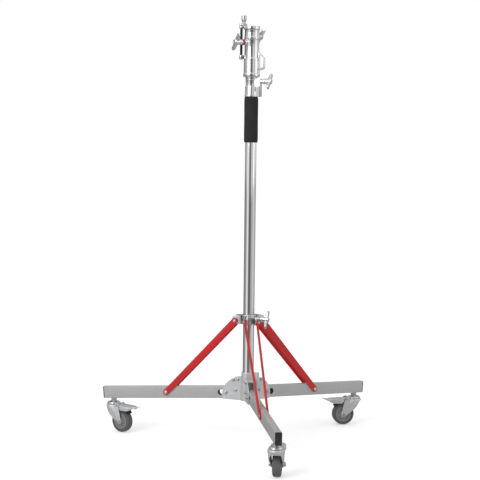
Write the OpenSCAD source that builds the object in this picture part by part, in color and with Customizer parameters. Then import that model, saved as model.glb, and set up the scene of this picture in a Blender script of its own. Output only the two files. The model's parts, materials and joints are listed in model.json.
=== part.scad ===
// Wheeled light stand with a folding base. Millimetres, +Z up. The origin is on the
// floor, under the middle of the base's outline. The front leg points along -Y.

/* [Column] */
// Outer diameter of the fixed column tube
column_d = 35; // [33:0.5:40]
// Wall of the column tube
column_wall = 1.5; // [1.2:0.1:1.8]
// Height of the column tube's open top end
column_top = 1112; // [1000:1:1300]
// Outer diameter of the foam grip
grip_d = 43; // [40:0.5:50]
// Length of the foam grip
grip_len = 139; // [80:1:180]

/* [Riser] */
// Outer diameter of the sliding riser tube
riser_d = 30; // [27:0.5:30]
// Wall of the riser tube
riser_wall = 1.5; // [1:0.1:2]
// Gap between the lowered riser's foot and the plug in the column's foot
riser_foot_gap = 63; // [2:1:700]
// Running clearance of a sliding or turning fit, on the radius
run_clear = 0.1; // [0.05:0.01:0.1]

/* [Legs] */
// Height of the leg tube's section
leg_h = 38; // [34:0.5:42]
// Width of the leg tube's section
leg_w = 20; // [18:0.5:22]
// Wall of the leg tube
leg_wall = 2; // [1.5:0.1:2.5]
// Fall of the leg from the hub to its tip, in degrees
leg_slope = 4.45; // [0:0.05:6]
// Distance from the column's axis to the leg's pivot bolt
pivot_r = 70; // [68:0.5:74]
// Distance from the caster's swivel axis to the outer face of the leg's cap
leg_past_stem = 34.1; // [26:0.1:80]
// Diameter of the round hole through the leg, next to the hub
leg_hole_d = 19; // [12:0.5:20]
// Gap between a flat moving side and the flat that it passes
side_gap = 0.3; // [0.2:0.05:0.4]

/* [Hub] */
// Outer diameter of the hub sleeve round the column
hub_d = 42; // [41.5:0.5:43]
// Height of the hub sleeve's top edge
hub_top = 224; // [215:1:260]
// Thickness of the bent cheek plates
cheek_t = 2.5; // [2:0.1:3]
// Radius of the cheek plates' round outer edge
cheek_arc_r = 58; // [54:0.5:60]
// Height of the cheek plates' bottom edge
cheek_bottom = 135; // [132:0.5:140]
// Height of the cheek plates
cheek_h = 71.4; // [71:0.1:76]

/* [Braces] */
// Distance from the column's axis to the brace's lower pivot
brace_foot_r = 273; // [200:1:320]
// Distance from the column's axis to the brace's upper pivot
brace_head_r = 40; // [38:0.5:46]
// Height of the brace's upper pivot
brace_head_z = 384.5; // [330:0.5:480]
// Width of a brace bar
brace_w = 19; // [14:0.5:20]
// Thickness of a brace bar
brace_t = 4; // [2:0.1:4.5]
// Width of the collar's ear across its two plates
ear_w = 33; // [31:0.5:34]
// Thickness of one ear plate
ear_t = 6; // [4:0.5:7]
// Outer diameter of the brace collar
collar_d = 48; // [46:0.5:50]
// Height of the brace collar
collar_h = 30; // [26:0.5:34]

/* [Casters] */
// Distance from the column's axis to the caster's swivel axis
stem_r = 461.4; // [440:0.1:465]
// Diameter of the wheel
wheel_d = 72; // [64:1:76]
// Width of the tyre
wheel_w = 24; // [20:0.5:25]
// Distance from the swivel axis to the wheel's axle
trail = 36; // [33:0.5:38]
// Diameter of the fork's domed top
fork_d = 50; // [48:0.5:54]
// Thickness of the fork's sheet steel
fork_t = 2.5; // [2:0.1:3]
// Thickness of the swivel race above the fork
race_h = 9.5; // [8:0.5:12]
// Height of the stem nut between race and leg
stem_nut_h = 9.2; // [6:0.1:12]
// Length of the brake pedal from the swivel axis to its tip
pedal_reach = 100; // [92:1:110]
// Width of the brake pedal
pedal_w = 44; // [43:0.5:48]

/* [Head] */
// Diameter of the junior socket's bore
socket_bore_d = 28.7; // [28:0.1:29.5]
// Outer diameter of the socket casting's upper body
socket_d = 45; // [44:0.5:47]
// Height of the socket casting's rim above its foot
socket_h = 154.6; // [150:0.2:170]
// Height of the casting's thicker lower part
socket_step_h = 57; // [54:0.5:60]
// Height at which the side loop's upper end leaves the casting
loop_high = 78; // [72:0.5:84]
// Height at which the side loop's lower end leaves the casting
loop_low = 19; // [16:0.5:22]
// Distance that the side loop stands out from the casting
loop_out = 19; // [16:0.5:24]
// Depth of the junior socket's bore
socket_depth = 94; // [85:1:100]
// Length of a clamp handle's hub
tee_hub_len = 28; // [24:0.5:32]
// Diameter of a clamp handle's hub
tee_hub_d = 17; // [15:0.5:18]
// Length of a clamp handle from wing tip to wing tip
tee_span = 60; // [52:1:62]
// Diameter of a clamp handle's screw
tee_screw_d = 8; // [6:0.5:9]
// Diameter of the stud at the top of the swing arm
stud_d = 16; // [15.8:0.1:16]
// Height of the stud above the swing arm
stud_h = 27.5; // [24:0.5:34]
// Distance from the column's axis to the swing arm's hinge pin
arm_hinge_r = 32.5; // [32:0.1:34]
// Thickness of the swing arm
arm_t = 6.5; // [5:0.5:8]

/* [Hidden] */
$fn = 48;

// Directions about the column, in degrees from +X: legs, then the way each caster trails
leg_az = [270, 30, 150];
trail_az = [73, 179, 314];
FRONT = 0;
RIGHT = 1;
LEFT = 2;
collar_tee_az = -30;
riser_tee_az = -30;
front_tee_az = 204;
back_tee_az = 52;
arm_hinge_az = 170;
stud_az_from_hinge = 66.7;
side_loop_az = -25;
side_loop_w = 10;
// Turn of each handle's wings about its screw, in degrees from upright
collar_tee_turn = -31;
riser_tee_turn = -41;
front_tee_turn = -36;
back_tee_turn = 30;

// Clearances inside one body
seat = 0.05;
// Clearance between flat faces that turn on each other
face_gap = 0.3;

// Caster stack, from the floor up
axle_z = wheel_d / 2;
wheel_room = 13;
fork_roof = wheel_d + wheel_room;
fork_top = fork_roof + fork_t;
race_z = fork_top + face_gap;
stem_nut_z = race_z + race_h;
leg_under = stem_nut_z + stem_nut_h;
stem_drop = 4;
rim_r = wheel_d / 2 - 10;
fork_in = wheel_w / 2 + 2.4;
// The skirt closes the fork's front down to this height, as far as this distance past the swivel
fork_skirt_z = wheel_d - 4;
fork_skirt_x = 8;
// Distance from the wheel's middle to the flat boss that the axle's nut and head bear on
axle_seat_y = fork_in + fork_t + 2.6;
axle_boss_r = 8.5;
// Rear corner of the fork's side plates
fork_rear_x = trail - 4.5;
fork_rear_z = wheel_d + 1;
fork_rear_r = 5;
race_r = fork_d / 2 - 4.5;
stem_rad = 6;

// Pedal: its pivot in the caster frame, then the plate's slope and its underside from the pivot
pedal_x = fork_d / 2 + 3;
pedal_z = fork_roof + 0.5;
pedal_lug_r = 6;
pedal_pin_r = 2.5;
pedal_barrel_r = 4.2;
pedal_drop = 2.5;
pedal_lift = -1.5;
pedal_t = 2;
shoe_gap = 4.5;
shoe_t = 3.5;
shoe_x = 12;
shoe_len = 12;

// Leg line, measured on the tube's centre
leg_mid_at_stem = leg_under + leg_h / 2 / cos(leg_slope);
function leg_mid(r) = leg_mid_at_stem + (stem_r - r) * tan(leg_slope);
pivot_z = leg_mid(pivot_r);
leg_inner = 22;
function along_leg(r) = (r - pivot_r) / cos(leg_slope);
leg_reach = stem_r + leg_past_stem;
leg_end = along_leg(leg_reach);
cap_t = 3.5;
leg_hole_r = 88;

// The base's outline is centred on the origin, so the column stands behind it
tip_r = leg_reach + leg_h / 2 * sin(leg_slope);
column_y = (tip_r - (tip_r * sin(30) + leg_w / 2 * cos(30))) / 2;

// Brace line
brace_foot_z = leg_mid(brace_foot_r);
brace_rise = brace_head_z - brace_foot_z;
brace_run = brace_foot_r - brace_head_r;
brace_flat = norm([brace_run, brace_rise]);
brace_foot_y = leg_w / 2 + side_gap + brace_t / 2 + 0.1;
ear_gap = 0.6;
brace_head_y = ear_w / 2 + ear_gap + brace_t / 2;
brace_splay = atan((brace_head_y - brace_foot_y) / brace_flat);
brace_len = norm([brace_flat, brace_head_y - brace_foot_y]);
brace_angle = 180 - atan(brace_rise / brace_run);
pin_r = 4;
rivet_r = 3;
rivet_head_r = 5;
rivet_head_h = 2;

// Column and hub
column_foot = cheek_bottom + 5;
plug_h = 14;
plug_lip = 3;
riser_hidden = column_top - column_foot - plug_h - riser_foot_gap;
grip_top = column_top - 35.3;
hub_foot = cheek_bottom + 3;
hub_boss_r = 7;
hub_boss_at = hub_d / 2 + 8.5;
hub_boss_foot = cheek_bottom + 40;
hub_boss_room = 0.5;
cheek_top = cheek_bottom + cheek_h;
cheek_mid_r = 23;
cheek_mid_z = cheek_top + 0.6 - cheek_arc_r;
cheek_y = leg_w / 2 + side_gap;
bolt_r = 4;
bolt_head_r = 6.5;
bolt_head_h = 3.5;
// Places of the cheek plates' own bolts: distance from the column and height above the bottom edge
cheek_bolts = [[37, 31], [44, 64], [29.5, 66]];

// Collar on the column
collar_bottom = brace_head_z - 9.5;
collar_top = collar_bottom + collar_h;
bush_t = 2.4;
ear_round = brace_w / 2;
collar_tee_z = brace_head_z + 6.5;

// Riser clamp on the column's top
clamp_foot = column_top - 35;
clamp_flange_d = 43;
clamp_flange_h = 6;
clamp_d = 39.4;
clamp_neck_d = 35.6;
clamp_top = column_top + 20.5;
clamp_block_r = 31.5;
clamp_block_w = 19;
clamp_bush_r = riser_d / 2 + run_clear + 1.2;
clamp_tee_z = column_top + 12.5;
tee_neck_len = 4;
tee_boss_d = 15;
tee_tip_r = 7.5;
tee_root = 7;

// Socket casting on the riser's top
socket_foot = column_top + 26;
socket_rim = socket_foot + socket_h;
socket_collar_h = 5;
socket_collar_d = 37.6;
socket_seat = 45;
hinge_pin_r = 3;
hinge_lug_r = 6.5;
hinge_sleeve_r = 3.9;
lug_low = socket_foot + socket_step_h - 2;
lug_low_h = 11;
lug_high = socket_rim - 7.6;
front_tee_z = socket_rim - 50;
back_tee_z = socket_rim - 30;
arm_z = socket_rim + 0.5;
front_boss_r = socket_d / 2 + 5.5;
back_boss_r = socket_d / 2 + 6.5;
washer_t = 5;
washer_d = 18;

function polar(r, a) = [r * cos(a), r * sin(a)];

// Puts children on the column's axis
module on_column() {
    translate([0, column_y, 0]) children();
}

// Turns children so that +X points away from the column along leg k
module on_leg(k) {
    on_column() rotate([0, 0, leg_az[k]]) children();
}

// Leg frame: X along the tube from the pivot, Y across, Z up from the tube's centre line
module leg_frame(k) {
    on_leg(k) translate([pivot_r, 0, pivot_z]) rotate([0, leg_slope, 0]) children();
}

// Caster frame: Z on the swivel axis, X towards the wheel
module caster_frame(k) {
    on_leg(k) translate([stem_r, 0, 0]) rotate([0, 0, trail_az[k] - leg_az[k]]) children();
}

// A cylinder along Y, centred
module cross_cyl(r, w) {
    rotate([90, 0, 0]) cylinder(r = r, h = w, center = true);
}

module ring(r_out, r_in, h) {
    difference() {
        cylinder(r = r_out, h = h);
        translate([0, 0, -1]) cylinder(r = r_in, h = h + 2);
    }
}

// Rectangle with round corners, centred
module soft_rect(w, h, r) {
    square([w - 2 * r, h], center = true);
    square([w, h - 2 * r], center = true);
    for (x = [-1, 1], y = [-1, 1])
        translate([x * (w / 2 - r), y * (h / 2 - r)]) circle(r);
}

// A disc with a rounded rim, standing on z = 0
module soft_disc(r, h, edge) {
    rotate_extrude() {
        square([r - edge, h]);
        translate([0, edge]) square([r, h - 2 * edge]);
        for (z = [edge, h - edge]) translate([r - edge, z]) circle(edge);
    }
}

// A bolt along Y through a stack of the given width, with a domed head and a nut
module cross_bolt(r, head_r, head_h, w) {
    rotate([90, 0, 0]) {
        cylinder(r = r, h = w + 2 * head_h - 1, center = true);
        translate([0, 0, w / 2]) cylinder(r1 = head_r, r2 = head_r - 1.5, h = head_h);
        translate([0, 0, -w / 2 - head_h]) cylinder(r = head_r, h = head_h, $fn = 6);
    }
}

module column_tube() {
    color("silver") on_column() translate([0, 0, column_foot])
        ring(column_d / 2, column_d / 2 - column_wall, column_top - column_foot);
}

module column_plug() {
    color("dimgray") on_column() translate([0, 0, column_foot]) {
        translate([0, 0, -plug_lip]) cylinder(r = column_d / 2, h = plug_lip);
        cylinder(r = column_d / 2 - column_wall - seat, h = plug_h);
    }
}

// Upright socket on the side of the hub sleeve, grown by g for the hole that it passes through
module hub_boss(g) {
    boss_h = hub_top - hub_boss_foot + g;
    rotate([0, 0, collar_tee_az]) translate([0, 0, hub_boss_foot - g]) {
        translate([hub_boss_at, 0, 0]) cylinder(r = hub_boss_r + g, h = boss_h);
        translate([0, -hub_boss_r / 2 - g, 0]) cube([hub_boss_at, hub_boss_r + 2 * g, boss_h]);
    }
}

// Sleeve that the cheek plates are wrapped round
module hub_sleeve() {
    color("lightgray") on_column() difference() {
        union() {
            translate([0, 0, hub_foot]) cylinder(r = hub_d / 2, h = hub_top - hub_foot);
            hub_boss(0);
        }
        translate([0, 0, hub_foot - 1])
            cylinder(r = column_d / 2 + seat, h = hub_top - hub_foot + 2);
        rotate([0, 0, collar_tee_az]) translate([hub_boss_at, 0, cheek_top])
            cylinder(r = hub_boss_r - 2.5, h = hub_top);
    }
}

// Outline of one wing of a cheek plate, 1 mm over at top and bottom: X away from the column, Y up
module cheek_outline() {
    intersection() {
        translate([cheek_mid_r, cheek_mid_z]) circle(cheek_arc_r);
        translate([hub_d / 2 - 6, cheek_bottom - 1])
            square([2 * cheek_arc_r, cheek_top - cheek_bottom + 2]);
    }
}

// A wing on one side of the leg, 1 mm too thick towards the leg until hub_cheek trims it
module cheek_wing(side) {
    y = side > 0 ? cheek_y + cheek_t : 1 - cheek_y;
    difference() {
        translate([0, y, 0]) rotate([90, 0, 0]) linear_extrude(cheek_t + 1) cheek_outline();
        translate([pivot_r, 0, pivot_z]) cross_cyl(bolt_r + seat, 4 * leg_w);
        for (p = cheek_bolts)
            translate([p[0], 0, cheek_bottom + p[1]]) cross_cyl(bolt_r + seat, 4 * leg_w);
    }
}

// One bent plate: a shell round the sleeve and a wing beside each of two legs
module hub_cheek(k) {
    shell_r = hub_d / 2 + seat;
    plate_h = cheek_top - cheek_bottom;
    edge_angle = asin(cheek_y / shell_r) - 3;
    color("lightgray") on_leg(k) difference() {
        intersection() {
            union() {
                translate([0, 0, cheek_bottom - 1]) rotate([0, 0, edge_angle])
                    rotate_extrude(angle = 120 - 2 * edge_angle)
                        translate([shell_r - 1, 0]) square([cheek_t + 1, plate_h + 2]);
                cheek_wing(1);
                rotate([0, 0, 120]) cheek_wing(-1);
            }
            translate([0, 0, cheek_bottom]) cylinder(r = 2 * cheek_arc_r, h = plate_h);
        }
        translate([0, 0, cheek_bottom - 1]) cylinder(r = shell_r, h = plate_h + 2);
        for (a = [0, 120]) rotate([0, 0, a]) translate([0, -cheek_y, cheek_bottom - 1])
            cube([2 * cheek_arc_r, 2 * cheek_y, plate_h + 2]);
        if (k == FRONT) rotate([0, 0, -leg_az[k]]) hub_boss(hub_boss_room);
    }
}

module hub_bolts() {
    color("silver") for (k = [0:2], p = cheek_bolts)
        on_leg(k) translate([p[0], 0, cheek_bottom + p[1]])
            cross_bolt(bolt_r, bolt_head_r - 1, bolt_head_h, 2 * (cheek_y + cheek_t));
}

module leg_pivot_bolts() {
    color("silver") for (k = [0:2]) on_leg(k) translate([pivot_r, 0, pivot_z])
        cross_bolt(bolt_r, bolt_head_r, bolt_head_h, 2 * (cheek_y + cheek_t));
}

module foam_grip() {
    color("black") on_column() translate([0, 0, grip_top - grip_len])
        difference() {
            soft_disc(grip_d / 2, grip_len, 2.5);
            translate([0, 0, -1]) cylinder(r = column_d / 2 + seat, h = grip_len + 2);
        }
}

// Casting on the column's top that the riser slides through, split and pinched by a handle
module riser_clamp() {
    color("silver") on_column() difference() {
        union() {
            translate([0, 0, clamp_foot]) {
                soft_disc(clamp_flange_d / 2, clamp_flange_h, 1.5);
                cylinder(r = clamp_d / 2, h = column_top - 3 - clamp_foot);
                cylinder(r = clamp_neck_d / 2, h = clamp_top - clamp_foot);
            }
            translate([0, 0, clamp_top - 4]) soft_disc(clamp_neck_d / 2 + 0.6, 4, 1);
            rotate([0, 0, riser_tee_az]) translate([0, -clamp_block_w / 2, clamp_foot + 1])
                difference() {
                    cube([clamp_block_r, clamp_block_w, clamp_top - clamp_foot - 1]);
                    for (y = [0, clamp_block_w])
                        translate([clamp_block_r, y, -1]) rotate([0, 0, 45])
                            cube([4, 4, 3 * column_d], center = false);
                }
            rotate([0, 0, riser_tee_az]) translate([0, 0, clamp_tee_z]) rotate([0, 90, 0])
                cylinder(r = tee_boss_d / 2, h = clamp_block_r + 2);
        }
        translate([0, 0, clamp_foot - 1])
            cylinder(r = column_d / 2 + seat, h = column_top - clamp_foot + 1);
        cylinder(r = clamp_bush_r + seat, h = 2 * column_top);
        rotate([0, 0, riser_tee_az]) translate([0, 0, clamp_tee_z]) rotate([0, 90, 0])
            cylinder(r = tee_screw_d / 2 + run_clear, h = 2 * clamp_block_r);
        rotate([0, 0, riser_tee_az]) translate([clamp_bush_r, -0.75, clamp_foot - 1])
            cube([clamp_block_r, 1.5, 30]);
    }
}

module clamp_bush() {
    color("dimgray") on_column() difference() {
        translate([0, 0, column_top + 0.5])
            cylinder(r = clamp_bush_r, h = clamp_top - column_top - 0.5);
        cylinder(r = riser_d / 2 + run_clear, h = 2 * column_top);
        rotate([0, 0, riser_tee_az]) translate([0, 0, clamp_tee_z]) rotate([0, 90, 0])
            cylinder(r = tee_screw_d / 2 + 0.5, h = 2 * clamp_block_r);
    }
}

// Side view of one ear plate: X away from the column, Y up
module ear_outline() {
    x0 = column_d / 2 + bush_t;
    translate([brace_head_r, brace_head_z]) circle(ear_round);
    translate([x0, collar_bottom]) square([brace_head_r - x0, collar_h - 3]);
    translate([brace_head_r, brace_head_z])
        square([ear_round, collar_top - 3 - ear_round - brace_head_z]);
    translate([brace_head_r, collar_top - 3 - ear_round]) circle(ear_round);
}

module brace_collar() {
    color("silver") on_column() difference() {
        union() {
            translate([0, 0, collar_bottom]) soft_disc(collar_d / 2, collar_h, 1.5);
            for (a = leg_az) rotate([0, 0, a]) {
                for (y = [ear_w / 2, ear_t - ear_w / 2])
                    translate([0, y, 0]) rotate([90, 0, 0]) linear_extrude(ear_t) ear_outline();
                translate([column_d / 2 + bush_t, -ear_w / 2 + 1, collar_top - 10])
                    cube([brace_head_r - column_d / 2, ear_w - 2, 7]);
            }
            rotate([0, 0, collar_tee_az]) translate([0, 0, collar_tee_z]) rotate([0, 90, 0])
                cylinder(r = tee_boss_d / 2, h = brace_head_r - 6);
        }
        translate([0, 0, collar_bottom - 1])
            cylinder(r = column_d / 2 + bush_t + seat, h = collar_h + 2);
        rotate([0, 0, collar_tee_az]) translate([0, 0, collar_tee_z]) rotate([0, 90, 0])
            cylinder(r = tee_screw_d / 2 + run_clear, h = 2 * brace_head_r);
        for (a = leg_az) rotate([0, 0, a]) translate([brace_head_r, 0, brace_head_z])
            cross_cyl(rivet_r + 1.5 + seat, 2 * ear_w);
    }
}

module collar_bush() {
    color("dimgray") on_column() difference() {
        translate([0, 0, collar_bottom - 1]) {
            cylinder(r = column_d / 2 + bush_t, h = collar_h + 2);
        }
        cylinder(r = column_d / 2 + run_clear, h = 2 * collar_top);
        rotate([0, 0, collar_tee_az]) translate([0, 0, collar_tee_z]) rotate([0, 90, 0])
            cylinder(r = tee_screw_d / 2 + 0.5, h = 2 * brace_head_r);
    }
}

// Bushes in the ears' holes, flush with the outer faces
module ear_bushes() {
    color("goldenrod") for (k = [0:2], y = [ear_w / 2, ear_t - ear_w / 2])
        on_leg(k) translate([brace_head_r, y, brace_head_z]) rotate([90, 0, 0])
            ring(rivet_r + 1.5, rivet_r, ear_t);
}

// A clamp handle. X points out along its screw, from the seat of its hub.
// in_len is how far the screw reaches inwards; turn is the wings' angle about the screw
module tee(in_len, turn) {
    wing_x = tee_neck_len + tee_hub_len - 8;
    color("silver") {
        rotate([0, 90, 0]) difference() {
            union() {
                translate([0, 0, -in_len]) cylinder(r = tee_screw_d / 2, h = in_len + tee_neck_len);
                cylinder(r = tee_hub_d / 2 - 2.5, h = tee_neck_len + 1);
                translate([0, 0, tee_neck_len]) soft_disc(tee_hub_d / 2, tee_hub_len, 2);
            }
            translate([0, 0, tee_neck_len + tee_hub_len - 2.5]) cylinder(r = 2.2, h = 5);
        }
        rotate([turn, 0, 0]) translate([wing_x, 0, 0]) intersection() {
            rotate([90, 0, 0]) linear_extrude(2 * tee_tip_r, center = true) wing_taper();
            rotate([0, 90, 0]) linear_extrude(2 * tee_root, center = true) wing_front();
        }
    }
}

// Side view of the wings: thick at the hub, thin at the tips, with a flat outer face
module wing_taper() {
    end = tee_span / 2;
    polygon([[-tee_root, 0], [0, end], [5, end], [tee_root - 1, 0], [5, -end], [0, -end]]);
}

// Front view of the wings: a bar with round ends, narrower at the hub
module wing_front() {
    reach = tee_span / 2 - tee_tip_r;
    waist = tee_tip_r - 1.2;
    for (s = [-1, 1]) translate([s * reach, 0]) circle(tee_tip_r);
    polygon([[-reach, -tee_tip_r], [0, -waist], [reach, -tee_tip_r],
        [reach, tee_tip_r], [0, waist], [-reach, tee_tip_r]]);
}

module collar_tee() {
    seat_r = brace_head_r - 6 + face_gap;
    on_column() rotate([0, 0, collar_tee_az]) translate([seat_r, 0, collar_tee_z])
        tee(seat_r - column_d / 2 - face_gap, collar_tee_turn);
}

module leg_tube(k) {
    start = -leg_inner;
    len = leg_end - cap_t + leg_inner;
    color("darkgray") difference() {
        leg_frame(k) difference() {
            translate([start, 0, 0]) rotate([90, 0, 90]) linear_extrude(len) difference() {
                soft_rect(leg_w, leg_h, 2.5);
                soft_rect(leg_w - 2 * leg_wall, leg_h - 2 * leg_wall, 1);
            }
            cross_cyl(bolt_r + run_clear, 2 * leg_w);
            translate([along_leg(leg_hole_r), 0, 0]) cross_cyl(leg_hole_d / 2, 2 * leg_w);
            translate([along_leg(brace_foot_r), 0, 0]) cross_cyl(pin_r + seat, 2 * leg_w);
        }
        on_leg(k) translate([stem_r, 0, leg_under - 5]) cylinder(r = stem_rad + seat, h = 14);
    }
}

module leg_cap(k) {
    in_w = leg_w - 2 * leg_wall - 2 * seat;
    in_h = leg_h - 2 * leg_wall - 2 * seat;
    color("dimgray") leg_frame(k) translate([leg_end, 0, 0]) rotate([90, 0, -90]) {
        linear_extrude(cap_t) soft_rect(leg_w, leg_h, 2.5);
        linear_extrude(cap_t + 12) soft_rect(in_w, in_h, 1);
    }
}

// Threaded stem with its ball race and two nuts, one under the leg and one inside it
module caster_stem(k) {
    neck_h = fork_roof - stem_drop;
    color("silver") {
        on_leg(k) translate([stem_r, 0, 0]) {
            translate([0, 0, race_z]) rotate_extrude() race_outline();
            translate([0, 0, neck_h]) cylinder(r = stem_rad, h = leg_under + 12 - neck_h);
            translate([0, 0, neck_h]) cylinder(r = 9, h = stem_drop - face_gap);
        }
        difference() {
            on_leg(k) translate([stem_r, 0, stem_nut_z - 1])
                cylinder(r = 9.5, h = stem_nut_h + 3, $fn = 6);
            leg_frame(k) translate([along_leg(stem_r) - leg_h, -leg_h, -leg_h / 2])
                cube([2 * leg_h, 2 * leg_h, leg_h]);
        }
        leg_frame(k) translate([along_leg(stem_r) + 0.2, 0, leg_wall - leg_h / 2])
            cylinder(r = 7.8, h = 7, $fn = 6);
    }
}

// Half section of the race: a wide lower cup, a chamfer and a narrow crown under the nut
module race_outline() {
    polygon([[0, 0], [race_r - 2, 0], [race_r, 2], [race_r, race_h - 6], [race_r - 3, race_h - 3.5],
        [race_r - 8, race_h - 2.5], [race_r - 10, race_h], [0, race_h]]);
}

// Pin through the leg and both brace bars, with rivet heads
module brace_pin(k) {
    w = 2 * (brace_foot_y + brace_t / 2) + 2 * face_gap;
    color("lightgray") on_leg(k) translate([brace_foot_r, 0, brace_foot_z]) {
        cross_cyl(pin_r, w + 2);
        for (s = [0, 180]) rotate([0, 0, s]) translate([0, -w / 2, 0]) rotate([90, 0, 0])
            cylinder(r1 = rivet_head_r + 1, r2 = rivet_head_r - 0.8, h = rivet_head_h);
    }
}

// Puts children on the lower pivot of a bar: X along the bar, Y across the leg
module bar_frame(side) {
    translate([brace_foot_r, side * brace_foot_y, brace_foot_z])
        rotate([0, -brace_angle, 0]) rotate([0, 0, side * brace_splay]) children();
}

// Two flat bars beside the leg, each with the rivet of its upper end
module brace_bars(k) {
    color("firebrick") on_leg(k) for (side = [-1, 1]) {
        difference() {
            bar_frame(side) {
                translate([0, -brace_t / 2, -brace_w / 2]) cube([brace_len, brace_t, brace_w]);
                for (x = [0, brace_len]) translate([x, 0, 0]) cross_cyl(brace_w / 2, brace_t);
            }
            translate([brace_foot_r, 0, brace_foot_z]) cross_cyl(pin_r + run_clear, 4 * leg_w);
        }
        bar_frame(side) translate([brace_len, side * brace_t / 2, 0]) rotate([-90 * side, 0, 0])
            cylinder(r1 = rivet_head_r, r2 = rivet_head_r - 1.5, h = rivet_head_h);
    }
}

// Bent steel fork: a domed top, a skirt at its front, side plates that close in, and pedal lugs
module caster_fork(k) {
    out_y = fork_in + fork_t;
    color("lightgray") caster_frame(k) difference() {
        union() {
            difference() {
                fork_shell(fork_d / 2, fork_roof - 2, fork_t + 2, 9.5, fork_rear_r, out_y);
                fork_shell(fork_d / 2 - fork_t, fork_roof - 2, 2, 8, fork_rear_r - 1.5, fork_in);
                translate([fork_skirt_x, -fork_in, 0]) cube([2 * fork_d, 2 * fork_in, fork_roof]);
                translate([-fork_d, -fork_in, 0]) cube([2 * fork_d, 2 * fork_in, fork_skirt_z]);
            }
            for (y = [axle_seat_y, -fork_in]) translate([trail, y, axle_z]) rotate([90, 0, 0])
                cylinder(r = axle_boss_r, h = axle_seat_y - fork_in);
            for (y = [out_y, -fork_in]) translate([0, y, 0]) rotate([90, 0, 0])
                linear_extrude(fork_t) {
                    translate([pedal_x, pedal_z]) circle(pedal_lug_r);
                    translate([pedal_x - pedal_lug_r - 0.5, fork_roof - 5])
                        square([pedal_lug_r, 4 + pedal_z - fork_roof + pedal_lug_r]);
                    translate([pedal_x - pedal_lug_r, fork_roof - 8])
                        square([2 * pedal_lug_r, 8 + pedal_z - fork_roof]);
                }
        }
        translate([0, 0, fork_roof - 1]) cylinder(r = stem_rad + run_clear, h = fork_t + 2);
        translate([trail, 0, axle_z]) cross_cyl(4 + seat, 2 * fork_d);
        translate([pedal_x, 0, pedal_z]) {
            cross_cyl(pedal_pin_r + run_clear, 2 * fork_d);
            cross_cyl(pedal_barrel_r + 0.5, 2 * fork_in);
        }
    }
}

// Space between a round top, an axle boss and a rear corner, each reaching y to both sides
module fork_shell(top_r, top_z, top_h, axle_r, rear_r, y) {
    hull() {
        translate([0, 0, top_z]) cylinder(r = top_r, h = top_h, $fn = 32);
        translate([trail, 0, axle_z]) rotate([90, 0, 0])
            cylinder(r = axle_r, h = 2 * y, center = true, $fn = 32);
        translate([fork_rear_x, 0, fork_rear_z]) rotate([90, 0, 0])
            cylinder(r = rear_r, h = 2 * y, center = true, $fn = 32);
    }
}

// Axle bolt with head, spacer sleeve and nut
module axle(k) {
    face = axle_seat_y + seat;
    head_h = 5;
    nut_h = 4.5;
    color("silver") caster_frame(k) translate([trail, 0, axle_z]) rotate([90, 0, 0]) {
        translate([0, 0, -face - head_h]) cylinder(r = 4, h = 2 * face + head_h + nut_h + 1);
        cylinder(r = 5, h = 2 * fork_in - 0.4, center = true);
        translate([0, 0, face]) cylinder(r = 7.2, h = nut_h, $fn = 6);
        translate([0, 0, -face - head_h]) cylinder(r = 7.2, h = head_h, $fn = 6);
    }
}

// Moulded wheel centre with stepped rings on both faces
module wheel_core(k) {
    half = wheel_w / 2;
    bore = 5 + run_clear;
    color("gray") caster_frame(k) translate([trail, 0, axle_z]) rotate([90, 0, 0]) rotate_extrude() {
        translate([bore, -half - 1.5]) square([7, 2 * half + 3]);
        translate([bore, -half + 4]) square([rim_r - bore, 2 * half - 8]);
        translate([rim_r - 5, -half + 2]) square([5, 2 * half - 4]);
        translate([rim_r - 9.5, -half + 3]) square([2.5, 2 * half - 6]);
    }
}

// Rubber tyre with round shoulders
module tyre(k) {
    half = wheel_w / 2;
    shoulder = 5;
    tread = wheel_d / 2 - rim_r - seat;
    color("dimgray") caster_frame(k) translate([trail, 0, axle_z]) rotate([90, 0, 0]) rotate_extrude() {
        translate([rim_r + seat, -half + shoulder]) square([tread, 2 * half - 2 * shoulder]);
        translate([rim_r + seat, -half]) square([tread - shoulder, 2 * half]);
        for (s = [-1, 1]) translate([wheel_d / 2 - shoulder, s * (half - shoulder)]) circle(shoulder);
    }
}

// Pedal frame: X along the pedal's plate from its pivot, Z up from the pivot
module pedal_frame(k) {
    caster_frame(k) translate([pedal_x, 0, pedal_z]) rotate([0, pedal_drop, 0]) children();
}

// Foot pedal: a barrel between the fork's lugs, a plate, its turned-down sides and a tongue
module brake_pedal(k) {
    side_h = 17;
    len = pedal_reach - pedal_x;
    tongue = 14;
    wide = pedal_w / 2;
    neck = fork_in - 0.7;
    root = pedal_lug_r + 1;
    body = len - tongue;
    color("lightgray") pedal_frame(k) {
        cross_cyl(pedal_barrel_r, 2 * fork_in - 2 * face_gap);
        cross_cyl(pedal_pin_r, 2 * (fork_in + fork_t) + 1);
        translate([0, 0, pedal_lift]) linear_extrude(pedal_t) polygon([
            [-1, -10], [root, -neck], [root + 1, -wide], [body - 10, -wide], [body, 8 - wide],
            [len, -6], [len, 6], [body, wide - 8], [body - 10, wide], [root + 1, wide],
            [root, neck], [-1, 10]]);
        for (y = [wide, pedal_t - wide]) translate([0, y, pedal_lift]) rotate([90, 0, 0])
            linear_extrude(pedal_t)
                polygon([[root + 1, 1], [root + 1, -5], [root + 7, -side_h],
                    [body - 24, -side_h], [body - 8, -4], [body - 8, 1]]);
    }
}

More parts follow.
